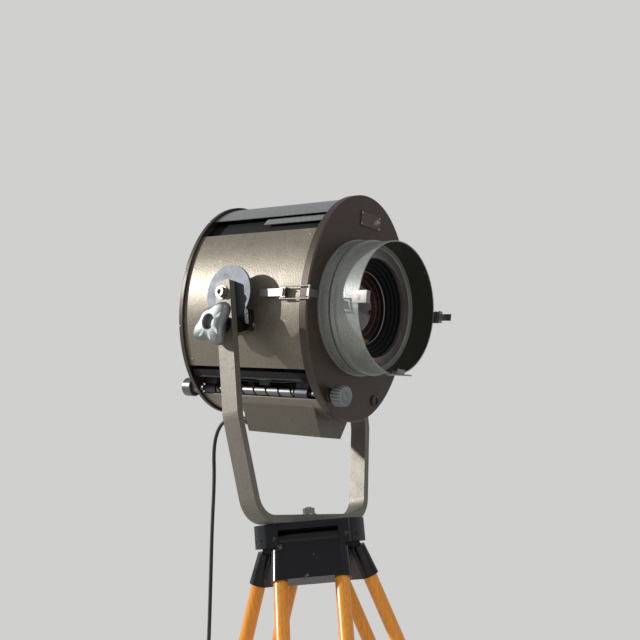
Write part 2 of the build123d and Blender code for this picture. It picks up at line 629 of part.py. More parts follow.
def make_pivot_screws():
    """Two pivot screws with washers, one at each yoke arm."""
    outside = YOKE_HALF_SPAN + 0.1
    shaft = bar_x(PANEL_OUTER - 7, outside + 3, 0, 0, PIVOT_RADIUS)
    washer = bar_x(outside, outside + 2.0, 0, 0, 11.0)
    head = bar_x(outside + 2.0, outside + 8.0, 0, 0, 8.5)
    socket = Plane(origin=(outside + 9, 0, 0), x_dir=(0, 1, 0), z_dir=(-1, 0, 0))
    screw = shaft + washer + head - extrude(socket * RegularPolygon(4.6, 6), amount=5)
    return [screw, mirror(screw, about=Plane.YZ)]


def make_clamp_jaw():
    """Jaw inside the left arm that grips the friction disc's lower edge."""
    jaw = block(-ARM_INNER, -ARM_INNER + 14, -40, 40, -68, -31)
    jaw = fillet(jaw.edges().filter_by(Axis.X), 8)
    gap = bar_x(-ARM_INNER - 1, -DISC_INNER_X + 0.5, 0, 0, DISC_RADIUS + 0.6)
    jaw -= gap
    return jaw - bar_x(-ARM_INNER - 1, -ARM_INNER + 20, 0, -STUD_DROP, STUD_RADIUS + RUNNING)


def make_knob_bush():
    """Spacer bush between the star knob and the yoke arm."""
    bush = bar_x(-YOKE_HALF_SPAN - KNOB_BUSH_LENGTH, -YOKE_HALF_SPAN, 0, -STUD_DROP, 14)
    return bush - bar_x(-YOKE_HALF_SPAN - 30, 0, 0, -STUD_DROP, STUD_RADIUS + RUNNING)


def make_star_knob():
    """Cast three-armed knob with its stud, which draws the jaw to the arm."""
    outline = Circle(17)
    for angle in STAR_ARM_ANGLES:
        arm = Pos(STAR_REACH / 2, 0) * Rectangle(STAR_REACH, 2 * STAR_TIP)
        root = Pos(12, 0) * Rectangle(20, 27)
        outline += Rot(0, 0, angle) * (arm + root + Pos(STAR_REACH, 0) * Circle(STAR_TIP))
    plane = Plane(origin=(-STAR_INNER_X, 0, -STUD_DROP), x_dir=(0, 1, 0), z_dir=(1, 0, 0))
    knob = extrude(plane * outline, amount=-STAR_THICKNESS)
    knob = fillet(knob.faces().sort_by(Axis.X)[0].edges(), 2.0)
    knob -= bar_x(-STAR_INNER_X - STAR_THICKNESS - 1, -STAR_INNER_X - 8, 0, -STUD_DROP, 12)
    return knob + bar_x(-STAR_INNER_X - 9, -ARM_INNER + 12, 0, -STUD_DROP, STUD_RADIUS)


def make_yoke():
    """Yoke bent from one flat bar, bored for the pivots, the stud and the stand bolt."""
    points = [(-YOKE_HALF_SPAN, ARM_TOP), (-YOKE_HALF_SPAN, ARM_BEND_Z), (-BASE_HALF, -YOKE_DROP),
              (BASE_HALF, -YOKE_DROP), (YOKE_HALF_SPAN, ARM_BEND_Z), (YOKE_HALF_SPAN, ARM_TOP)]
    outer = make_face(Polyline(*points, close=True))
    inner = offset(outer, amount=-BAR_THICKNESS, kind=Kind.INTERSECTION)
    low_corners = outer.vertices().group_by(Axis.Y)[0]
    outer = fillet(low_corners, YOKE_CORNER)
    outer = fillet(outer.vertices().filter_by_position(Axis.Y, ARM_BEND_Z - 1, ARM_BEND_Z + 1), YOKE_BEND)
    bend_inner = inner.vertices().sort_by(Axis.Y)[2:4]
    inner = fillet(inner.vertices().group_by(Axis.Y)[0], YOKE_CORNER - BAR_THICKNESS)
    inner = fillet(inner.vertices().filter_by_position(Axis.Y, bend_inner[0].Y - 1, bend_inner[0].Y + 1),
                   YOKE_BEND - BAR_THICKNESS)
    inner += Pos(0, ARM_TOP) * Rectangle(2 * ARM_INNER, 3 * BAR_THICKNESS)
    bar = prism(outer - inner, -BAR_WIDTH / 2, BAR_WIDTH / 2)
    tips = bar.edges().filter_by(Axis.X).filter_by_position(Axis.Z, ARM_TOP - 1, ARM_TOP + 1)
    bar = fillet(tips, 5)
    bar -= bar_x(-YOKE_HALF_SPAN - 5, YOKE_HALF_SPAN + 5, 0, 0, PIVOT_RADIUS + RUNNING)
    bar -= bar_x(-YOKE_HALF_SPAN - 5, -ARM_INNER + 5, 0, -STUD_DROP, STUD_RADIUS + RUNNING)
    return bar - Pos(0, 0, -YOKE_DROP) * Cylinder(BOLT_RADIUS + RUNNING, 60)


# ---------------------------------------------------------------- stand
def leg_frame(slew):
    """Return the location of a leg's hinge: X across the leg, Y outwards, Z up."""
    return Rot(0, 0, LEG_AZIMUTH + slew + 180) * Pos(0, HINGE_RADIUS, HINGE_Z)


def down_leg(slew, shape):
    """Place a piece drawn hanging straight down from the hinge at the leg's splay."""
    return leg_frame(slew) * (Rot(LEG_SPLAY, 0, 0) * shape)


def make_stand_head():
    """Three-cornered head casting with a recess for each leg's hinge barrel."""
    outline = Rot(0, 0, LEG_AZIMUTH + 90) * RegularPolygon(HEAD_SIDE_RADIUS, 3, major_radius=False)
    outline &= Circle(HEAD_CORNER_RADIUS)
    outline = fillet(outline.vertices(), HEAD_CORNER_ROUND)
    head = extrude(Pos(0, 0, HEAD_BOTTOM) * outline, amount=HEAD_HEIGHT)
    depth = HEAD_HEIGHT - HEAD_PLATE
    for name in LEG_NAMES:
        recess = block(-SLOT_HALF, SLOT_HALF, CORE_RADIUS, 140, HEAD_BOTTOM - 1, HEAD_BOTTOM + depth)
        head -= Rot(0, 0, LEG_AZIMUTH + SLEW[name] + 180) * recess
        bore = bar_x(-75, 75, HINGE_RADIUS, HINGE_Z, PIN_RADIUS + SEAT)
        head -= Rot(0, 0, LEG_AZIMUTH + SLEW[name] + 180) * bore
    boss = Pos(0, 0, HEAD_BOTTOM - 22) * Cylinder(22, 46)
    head += boss & Pos(0, 0, HEAD_BOTTOM) * Cylinder(60, 100)
    return head - Pos(0, 0, HEAD_BOTTOM) * Cylinder(BOLT_RADIUS + SEAT, 200)


def make_hinge_pins():
    """One hinge pin for each leg."""
    return [leg_frame(SLEW[name]) * bar_x(-73, 73, 0, 0, PIN_RADIUS) for name in LEG_NAMES]


def make_centre_bolt():
    """Bolt that holds the yoke on the head, with a washer and a nut above."""
    low = HEAD_BOTTOM - 52
    high = BASE_TOP + 13
    bolt = Pos(0, 0, (low + high) / 2) * Cylinder(BOLT_RADIUS, high - low)
    bolt += extrude(Pos(0, 0, low - 8) * RegularPolygon(11, 6), amount=8)
    washer = Pos(0, 0, BASE_TOP + 1.1) * Cylinder(12, 2) - Pos(0, 0, BASE_TOP) * Cylinder(
        BOLT_RADIUS + SEAT, 20)
    nut = extrude(Pos(0, 0, BASE_TOP + 2.12) * RegularPolygon(9.8, 6), amount=9)
    nut -= Pos(0, 0, BASE_TOP) * Cylinder(BOLT_RADIUS + SEAT, 60)
    return [bolt, washer, nut]


def stadium(length, thick):
    """Return a long oval section with round ends."""
    return SlotOverall(length, thick)


def pole_bores(s_low, s_high, clearance):
    """Return the two bars that the leg poles take up between two distances down the leg."""
    bores = Part()
    for side in (-1, 1):
        middle = -(s_low + s_high) / 2
        bores += Pos(side * POLE_HALF_SPACING, 0, middle) * Cylinder(POLE_RADIUS + clearance,
                                                                    s_high - s_low)
    return bores


def make_leg_casting():
    """Cast leg top: hinge barrel and two tapered pole sockets in one."""
    spread = 2 * POLE_HALF_SPACING
    upper = Pos(0, 0, -CASTING_TOP_S) * stadium(spread + CASTING_TOP_THICK, CASTING_TOP_THICK)
    lower = Pos(0, 0, -CASTING_BOTTOM_S) * stadium(spread + CASTING_BOTTOM_THICK, CASTING_BOTTOM_THICK)
    casting = loft([lower, upper])
    width = 2 * (SLOT_HALF - SIDE_GAP)
    casting += bar_x(-width / 2, width / 2, 0, 0, BARREL_RADIUS)
    casting += block(-width / 2, width / 2, -8, 8, -CASTING_TOP_S - 2, 0)
    casting -= bar_x(-80, 80, 0, 0, PIN_RADIUS + RUNNING)
    return casting - pole_bores(POLE_TOP_S, CASTING_BOTTOM_S + 5, SEAT)


def make_poles():
    """Two round wooden poles of one leg."""
    length = POLE_BOTTOM_S - POLE_TOP_S
    middle = -(POLE_TOP_S + POLE_BOTTOM_S) / 2
    return [Pos(side * POLE_HALF_SPACING, 0, middle) * Cylinder(POLE_RADIUS, length) for side in (-1, 1)]


def make_leg_clamp():
    """Clamp casting at the poles' lower end, with the window that the slider runs in."""
    spread = 2 * POLE_HALF_SPACING
    body = extrude(Pos(0, 0, -POLE_BOTTOM_S - 4) * stadium(spread + CLAMP_THICK, CLAMP_THICK),
                   amount=CLAMP_HEIGHT + 4)
    window = block(-SLIDER_WIDTH / 2 - SIDE_GAP, SLIDER_WIDTH / 2 + SIDE_GAP, -SLIDER_THICK / 2 - SIDE_GAP,
                   SLIDER_THICK / 2 + SIDE_GAP, -POLE_BOTTOM_S - 10, -CLAMP_TOP_S + 10)
    body -= window
    body -= pole_bores(CLAMP_TOP_S - 5, POLE_BOTTOM_S, SEAT)
    boss_z = -(CLAMP_TOP_S + POLE_BOTTOM_S) / 2
    plane = Plane(origin=(0, CLAMP_THICK / 2 - 2, boss_z), x_dir=(1, 0, 0), z_dir=(0, 1, 0))
    body += extrude(plane * Circle(11), amount=8)
    screw_hole = Plane(origin=(0, 5, boss_z), x_dir=(1, 0, 0), z_dir=(0, 1, 0))
    return body - extrude(screw_hole * Circle(STUD_RADIUS + RUNNING), amount=40)


def make_clamp_screw():
    """Wing screw of a leg clamp."""
    middle = -(CLAMP_TOP_S + POLE_BOTTOM_S) / 2
    start = SLIDER_THICK / 2 + 2 * SIDE_GAP
    plane = Plane(origin=(0, start, middle), x_dir=(1, 0, 0), z_dir=(0, 1, 0))
    screw = extrude(plane * Circle(STUD_RADIUS), amount=28 - start)
    wing_plane = Plane(origin=(0, CLAMP_THICK / 2 + 8, middle), x_dir=(1, 0, 0), z_dir=(0, 1, 0))
    screw += extrude(wing_plane * Circle(8), amount=12)
    wings = Plane(origin=(0, CLAMP_THICK / 2 + 10, middle - 3), x_dir=(1, 0, 0), z_dir=(0, 0, 1))
    sketch = make_face(Polyline((-6, 0), (-26, 12), (-24, 20), (0, 10), (24, 20), (26, 12), (6, 0),
                                close=True))
    return screw + extrude(wings * sketch, amount=6)


def make_slider():
    """Square-cut wooden lower leg with a guide plate that rides between the poles."""
    return block(-SLIDER_WIDTH / 2, SLIDER_WIDTH / 2, -SLIDER_THICK / 2, SLIDER_THICK / 2,
                 -SLIDER_BOTTOM_S, -SLIDER_TOP_S)


def make_shoe():
    """Steel shoe on the lower leg, cut level where it meets the floor."""
    wall = 2.0
    upper = Pos(0, 0, -SHOE_TOP_S) * Rectangle(SLIDER_WIDTH + 2 * wall, SLIDER_THICK + 2 * wall)
    lower = Pos(0, 0, -SLIDER_BOTTOM_S - 4) * Rectangle(SLIDER_WIDTH, SLIDER_THICK)
    shoe = loft([lower, upper])
    point = Pos(0, 0, -TOE_S - 12) * Rectangle(2 * TOE_RADIUS, 2 * TOE_RADIUS)
    shoe += loft([point, Pos(0, 0, -SLIDER_BOTTOM_S - 4) * Rectangle(SLIDER_WIDTH, SLIDER_THICK)])
    shoe -= block(-SLIDER_WIDTH / 2 - SEAT, SLIDER_WIDTH / 2 + SEAT, -SLIDER_THICK / 2 - SEAT,
                  SLIDER_THICK / 2 + SEAT, -SLIDER_BOTTOM_S - SEAT, -SHOE_TOP_S + 5)
    return shoe


# ---------------------------------------------------------------- mains lead
def make_gland():
    """Cable gland on the terminal box's rear wall with its tapered sleeve."""
    nut = prism(Pos(GLAND_X, GLAND_Z) * RegularPolygon(9, 6), BOX_REAR_U - GLAND_NUT, BOX_REAR_U)
    rear = section_plane(BOX_REAR_U - GLAND_NUT - SLEEVE_LENGTH) * Pos(GLAND_X, GLAND_Z) * Circle(
        CORD_DIAMETER / 2 + 1.0)
    front = section_plane(BOX_REAR_U - GLAND_NUT) * Pos(GLAND_X, GLAND_Z) * Circle(6.5)
    sleeve = loft([rear, front])
    return nut + sleeve


CORD_START = lamp_point(GLAND_X, BOX_REAR_U - GLAND_NUT - SLEEVE_LENGTH, GLAND_Z)
REST_Z = FLOOR + CORD_DIAMETER / 2
LEAD_OUT = 27.0
CORD_EXIT = lamp_point(GLAND_X, BOX_REAR_U - GLAND_NUT - SLEEVE_LENGTH - LEAD_OUT, GLAND_Z)
COIL_CENTRE = (-222.0, 100.0)
CORD_POINTS = [
    CORD_START,
    CORD_EXIT,
    (-20.0, 173.5, -180.0),
    (-20.0, 187.0, -213.0),
    (-18.5, 190.5, -266.0),
    (-31.0, 190.0, -345.0),
    (-43.0, 189.0, -440.0),
    (-56.0, 187.5, -535.0),
    (-71.0, 187.0, -628.0),
    (-86.0, 187.5, -715.0),
    (-97.0, 189.0, -805.0),
    (-105.0, 191.0, -900.0),
    (-111.0, 193.5, -995.0),
    (-115.0, 196.5, -1090.0),
    (-118.0, 200.0, -1185.0),
    (-121.0, 203.0, -1262.0),
    (-127.0, 206.0, -1320.0),
    (-144.0, 209.0, -1358.0),
    (-183.0, 209.0, REST_Z),
    (-228.0, 200.0, REST_Z),
    (-260.0, 172.0, REST_Z),
    (-267.0, 134.0, REST_Z),
]


def cord_radii(points):
    """Return the bend radius at each inner point: 0.45 of the shorter run over tan of half the turn."""
    radii = []
    for before, here, after in zip(points, points[1:], points[2:]):
        run_in = Vector(*here) - Vector(*before)
        run_out = Vector(*after) - Vector(*here)
        half_turn = radians(run_in.get_angle(run_out)) / 2
        radii.append(0.45 * min(run_in.length, run_out.length) / tan(half_turn))
    return radii


def make_cord():
    """Mains lead from the gland down to the floor and across to its coil."""
    radii = cord_radii(CORD_POINTS)
    print("cord radii", [round(r) for r in radii])
    path = FilletPolyline(*CORD_POINTS, radius=radii)
    start = Plane(origin=path @ 0, z_dir=path % 0)
    tube = sweep(start * Circle(CORD_DIAMETER / 2), path=path)
    print("cord length", round(path.length, 1), "volume check",
          round(tube.volume / (pi * CORD_DIAMETER**2 / 4 * path.length), 5))
    return tube


def make_coil():
    """Outer shape of the coiled remainder of the lead."""
    width = COIL_TURNS_WIDE * CORD_DIAMETER
    height = COIL_LAYERS * CORD_DIAMETER
    coil = Cylinder(COIL_RADIUS + width / 2, height) - Cylinder(COIL_RADIUS - width / 2, height + 2)
    return Pos(COIL_CENTRE[0], COIL_CENTRE[1], FLOOR + height / 2) * coil


def make_coil_tie():
    """Strap round one side of the coil."""
    height = COIL_LAYERS * CORD_DIAMETER
    width = COIL_TURNS_WIDE * CORD_DIAMETER
    place = Pos(COIL_CENTRE[0] + COIL_RADIUS, COIL_CENTRE[1], FLOOR + height / 2 + 0.6)
    band = place * Box(width + 3.0, 12, height + 1.2)
    return band - make_coil()


def make_plug():
    """Round earthed mains plug lying beside the coil, and its two pins."""
    radius = 18.5
    centre_z = FLOOR + radius
    entry = (COIL_CENTRE[0] - COIL_RADIUS + 6, COIL_CENTRE[1] - COIL_RADIUS - 16)
    plane = Plane(origin=(entry[0], entry[1], centre_z), x_dir=(0, 0, 1), z_dir=(0, -1, 0))
    neck = loft([plane * Circle(7), plane.offset(14) * Circle(11)])
    body = neck + extrude(plane.offset(14) * Circle(radius), amount=24)
    pins = []
    for side in (-1, 1):
        spot = plane.offset(38) * Pos(0, side * 9.5)
        pins.append(extrude(spot * Circle(2.4), amount=19))
    return [body] + pins


# ---------------------------------------------------------------- build and write
def build_nodes():
    """Return every node as a list of solids about the tilt axis, and the nodes of the lead."""
    nodes = {}
    lamp = {
        "front_plate": make_front_plate(),
        "rear_plate": make_rear_plate(),
        "side_panel_left": make_side_panel(180),
        "side_panel_right": make_side_panel(0),
        "top_cover": oval_strip(PANEL_INSET, PANEL_SHEET, 90, TOP_COVER_REACH, INSIDE_REAR_U,
                                INSIDE_FRONT_U),
        "lower_panel": oval_strip(PANEL_INSET, PANEL_SHEET, 270, LOWER_PANEL_REACH, INSIDE_REAR_U,
                                  INSIDE_FRONT_U),
        "vent_baffle": oval_strip(BAFFLE_INSET, PANEL_SHEET, 90, BAFFLE_REACH, INSIDE_REAR_U,
                                  INSIDE_FRONT_U),
        "inner_floor": make_inner_floor(),
        "terminal_box": make_terminal_box(),
        "rear_vent_cover": make_vent_cover(),
        "lens_mount": make_lens_mount(),
        "lens_cone": make_lens_cone(),
        "lens": make_lens(),
        "lens_rings": make_lens_rings(),
        "lens_hood": make_hood(),
        "accessory_clips": make_clips(),
        "focus_spindle": [make_spindle(), make_rear_knob()],
        "front_knob": make_front_knob(),
        "front_collars": make_front_collars(),
        "spindle_bushes": make_bushes(),
        "guide_rod": make_guide_rod(),
        "lamp_carriage": make_carriage(),
        "lampholder": make_lampholder(),
        "projector_bulb": make_bulb(),
        "reflector": make_reflector(),
        "latch_base": make_latch_base(),
        "latch_lever": make_latch_lever(),
        "latch_bail": make_latch_bail(),
        "catch_plate": make_catch_plate(),
        "hinge_leaf": make_hinge_leaf(),
        "door_knuckles": make_door_knuckles(),
        "label_plate": make_label_plate(),
        "pivot_hubs": [make_pivot_hub(-1, True), make_pivot_hub(1, False)],
        "pivot_screws": make_pivot_screws(),
        "cord_gland": make_gland(),
    }
    for name, shape in lamp.items():
        solids = shape if isinstance(shape, list) else [shape]
        nodes[name] = [lamp_to_pivot(solid) for solid in solids]
    nodes["yoke_bar"] = [make_yoke()]
    nodes["tilt_clamp"] = [make_clamp_jaw(), make_knob_bush()]
    nodes["star_knob"] = [make_star_knob()]
    nodes["stand_head"] = [make_stand_head()]
    nodes["hinge_pins"] = make_hinge_pins()
    nodes["centre_bolt"] = make_centre_bolt()
    upright = {
        "castings": [make_leg_casting(), make_leg_clamp()],
        "poles": make_poles(),
        "clamp_screw": [make_clamp_screw()],
        "slider": [make_slider()],
        "shoe": [make_shoe()],
    }
    ground = block(-2000, 2000, -2000, 2000, FLOOR - 400, FLOOR)
    for leg in LEG_NAMES:
        for piece, solids in upright.items():
            placed = [down_leg(SLEW[leg], solid) for solid in solids]
            if piece == "shoe":
                placed = [solid - ground for solid in placed]
            nodes[f"{leg}_leg_{piece}"] = placed
    lead = {
        "mains_cord": [make_cord()],
        "cord_coil": [make_coil()],
        "coil_tie": [make_coil_tie()],
        "mains_plug": make_plug(),
    }
    nodes.update(lead)
    return nodes, list(lead)


def middle_of(nodes, left_out):
    """Return the middle of the bounding box, in X and Y, of all nodes but those left out."""
    boxes = [solid.bounding_box() for name, solids in nodes.items() if name not in left_out
             for solid in solids]
    x_mid = (min(b.min.X for b in boxes) + max(b.max.X for b in boxes)) / 2
    y_mid = (min(b.min.Y for b in boxes) + max(b.max.Y for b in boxes)) / 2
    return x_mid, y_mid


NODES, LEAD_NODES = build_nodes()
MIDDLE_X, MIDDLE_Y = middle_of(NODES, LEAD_NODES)
SHIFT = (-MIDDLE_X, -MIDDLE_Y, -FLOOR)
os.makedirs("parts", exist_ok=True)
for node_name, node_solids in NODES.items():
    moved = [Pos(*SHIFT) * solid for solid in node_solids]
    shape = moved[0] if len(moved) == 1 else Compound(children=moved)
    export_step(shape, f"parts/{node_name}.step")
print("nodes", len(NODES), "shift", tuple(round(v, 3) for v in SHIFT))
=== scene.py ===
"""Looks of the theatre spotlight on its wooden survey stand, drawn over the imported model.

Lengths are metres in the row frame: Z up, the lamp faces -Y and X runs along the tilt axis. The
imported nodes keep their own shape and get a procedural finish. The mains lead, the two knobs, the
lens with its trim ring, the hood's lining, the screws, the sheet strips and the leads inside are
new surfaces, each computed from its formula.
"""

import logging
from dataclasses import dataclass, field
from enum import Enum
from math import cos, pi, radians, sin, sqrt
from typing import Callable, Optional, Sequence, Union

import bpy
import numpy as np
from mathutils import Matrix, Vector

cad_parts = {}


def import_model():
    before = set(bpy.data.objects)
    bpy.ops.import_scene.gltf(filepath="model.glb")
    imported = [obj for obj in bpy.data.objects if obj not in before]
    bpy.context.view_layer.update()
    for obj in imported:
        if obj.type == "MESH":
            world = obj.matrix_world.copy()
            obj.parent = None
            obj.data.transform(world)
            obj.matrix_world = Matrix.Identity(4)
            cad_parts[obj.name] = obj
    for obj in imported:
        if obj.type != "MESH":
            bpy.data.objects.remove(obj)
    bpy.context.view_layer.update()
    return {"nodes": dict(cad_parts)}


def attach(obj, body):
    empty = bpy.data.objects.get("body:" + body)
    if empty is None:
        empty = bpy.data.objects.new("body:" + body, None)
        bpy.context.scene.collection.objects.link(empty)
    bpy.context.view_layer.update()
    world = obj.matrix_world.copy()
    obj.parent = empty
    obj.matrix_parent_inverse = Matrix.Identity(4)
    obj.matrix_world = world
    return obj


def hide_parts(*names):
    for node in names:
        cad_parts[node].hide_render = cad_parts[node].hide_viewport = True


logging.basicConfig(level=logging.INFO, format="%(message)s")
log = logging.getLogger("scene")

# ------------------------------------------------------------------ sizes shared with the CAD model
MM = 0.001
SHIFT = (-21.605, -81.356, 1373.693)
LEAN = radians(12.7)
FRONT_U = 145.0
REAR_U = -137.0
HALF_WIDTH = 135.7
HALF_HEIGHT = 185.0
PANEL_INSET = 4.5
REAR_EDGE = 4.5
MOUNT_FLANGE = 3.0
LABEL_SHEET = 1.5
WORKS_X = -59.4
WORKS_Z = -146.0
HOOD_RADIUS = 105.4
HOOD_SHEET = 1.6
HOOD_REAR_U = 175.0
HOOD_FRONT_U = 218.0
CORD_DIAMETER = 6.5
FLOOR = -1373.693
REST_Z = FLOOR + CORD_DIAMETER / 2
COIL_CENTRE = (-222.0, 100.0)
COIL_PITCH = 6.8
COIL_POINTS = 18
PLUG_ENTRY = (-252.0, 48.5, FLOOR + 18.5)
LENS_RADIUS = 62.0
LENS_CURVE = 110.0
LENS_RIM_U = 143.0
KNOB_Z = -53.0
KNOB_INNER_X = -188.2
KNOB_THICKNESS = 20.0
STUD_END_X = -147.3
KNOB_ARMS = (148.0, 250.0, 336.0)
CORD_ROUTE = (
    (-20.0, 173.5, -180.0),
    (-20.0, 187.0, -213.0),
    (-18.5, 190.5, -266.0),
    (-31.0, 190.0, -345.0),
    (-43.0, 189.0, -440.0),
    (-56.0, 187.5, -535.0),
    (-71.0, 187.0, -628.0),
    (-86.0, 187.5, -715.0),
    (-97.0, 189.0, -805.0),
    (-105.0, 191.0, -900.0),
    (-111.0, 193.5, -995.0),
    (-115.0, 196.5, -1090.0),
    (-118.0, 200.0, -1185.0),
    (-121.0, 203.0, -1262.0),
    (-127.0, 206.0, -1320.0),
    (-144.0, 209.0, -1358.0),
    (-183.0, 209.0, REST_Z),
    (-228.0, 200.0, REST_Z),
    (-260.0, 172.0, REST_Z),
    (-267.0, 134.0, REST_Z),
)
GLAND = (-20.0, -82.0, -195.0)
GLAND_LENGTH = 27.0
CREASE = radians(35)
DOME_SHARES = (1.0, 0.97, 0.8, 0.5, 0.2)
DOME_SINK = 0.0002
DOME_SIDES = 16


def row(point: Sequence[float]) -> Vector:
    """Turn a point about the tilt axis, in millimetres, into the row frame.

    Args:
        point: x, y and z in millimetres from the tilt axis.

    Returns:
        The same point in metres in the row frame.
    """
    return Vector([(point[i] + SHIFT[i]) * MM for i in range(3)])


def lamp(x: float, u: float, v: float) -> Vector:
    """Turn a point of the level lamp into the row frame.

    Args:
        x: Distance along the tilt axis, mm.
        u: Distance forward, mm.
        v: Distance up, mm.

    Returns:
        The point in the row frame, with the lamp leaned forward.
    """
    return row((x, -u * cos(LEAN) - v * sin(LEAN), -u * sin(LEAN) + v * cos(LEAN)))


def row_grid(x: np.ndarray, y: np.ndarray, z: np.ndarray) -> np.ndarray:
    """Turn whole arrays of points about the tilt axis into the row frame.

    Each point is moved by the shift and scaled from millimetres to metres.

    Args:
        x: Distances along the tilt axis, mm.
        y: Distances back from the tilt axis, mm.
        z: Heights above the tilt axis, mm.

    Returns:
        Array of the broadcast shape with a last axis of 3, in metres.
    """
    points = np.stack(np.broadcast_arrays(x, y, z), axis=-1)
    return (points + np.array(SHIFT)) * MM


def lamp_grid(x: np.ndarray, u: np.ndarray, v: np.ndarray) -> np.ndarray:
    """Turn whole arrays of points of the level lamp into the row frame.

    The lean is a turn about X: y = -u cos L - v sin L, and z = -u sin L + v cos L.

    Args:
        x: Distances along the tilt axis, mm.
        u: Distances forward, mm.
        v: Distances up, mm.

    Returns:
        Array of the broadcast shape with a last axis of 3, in metres.
    """
    return row_grid(x, -u * cos(LEAN) - v * sin(LEAN), -u * sin(LEAN) + v * cos(LEAN))


def around_circle(count: int) -> np.ndarray:
    """Return a number of angles evenly round a circle, as one row."""
    return np.linspace(0, 2 * pi, count, endpoint=False)[None, :]


# ------------------------------------------------------------------ finishes
# scale, per metre, and detail of the noise that shades a whole piece and of its worn patches
BROAD_NOISE = (9.0, 6.0)
PATCH_NOISE = (45.0, 8.0)
FINE_DETAIL = 3.0
GRAIN_DEPTH = 0.0004
CHIP_DEPTH = 0.0003
WOOD_STRETCH = 0.07


class Kind(Enum):
    """How a finish behaves under light."""

    HAMMERED = "hammered"
    GLOSS_PAINT = "gloss_paint"
    MATT = "matt"
    METAL = "metal"
    WOOD = "wood"
    RUBBER = "rubber"
    GLASS = "glass"
    CERAMIC = "ceramic"
    MIRROR = "mirror"


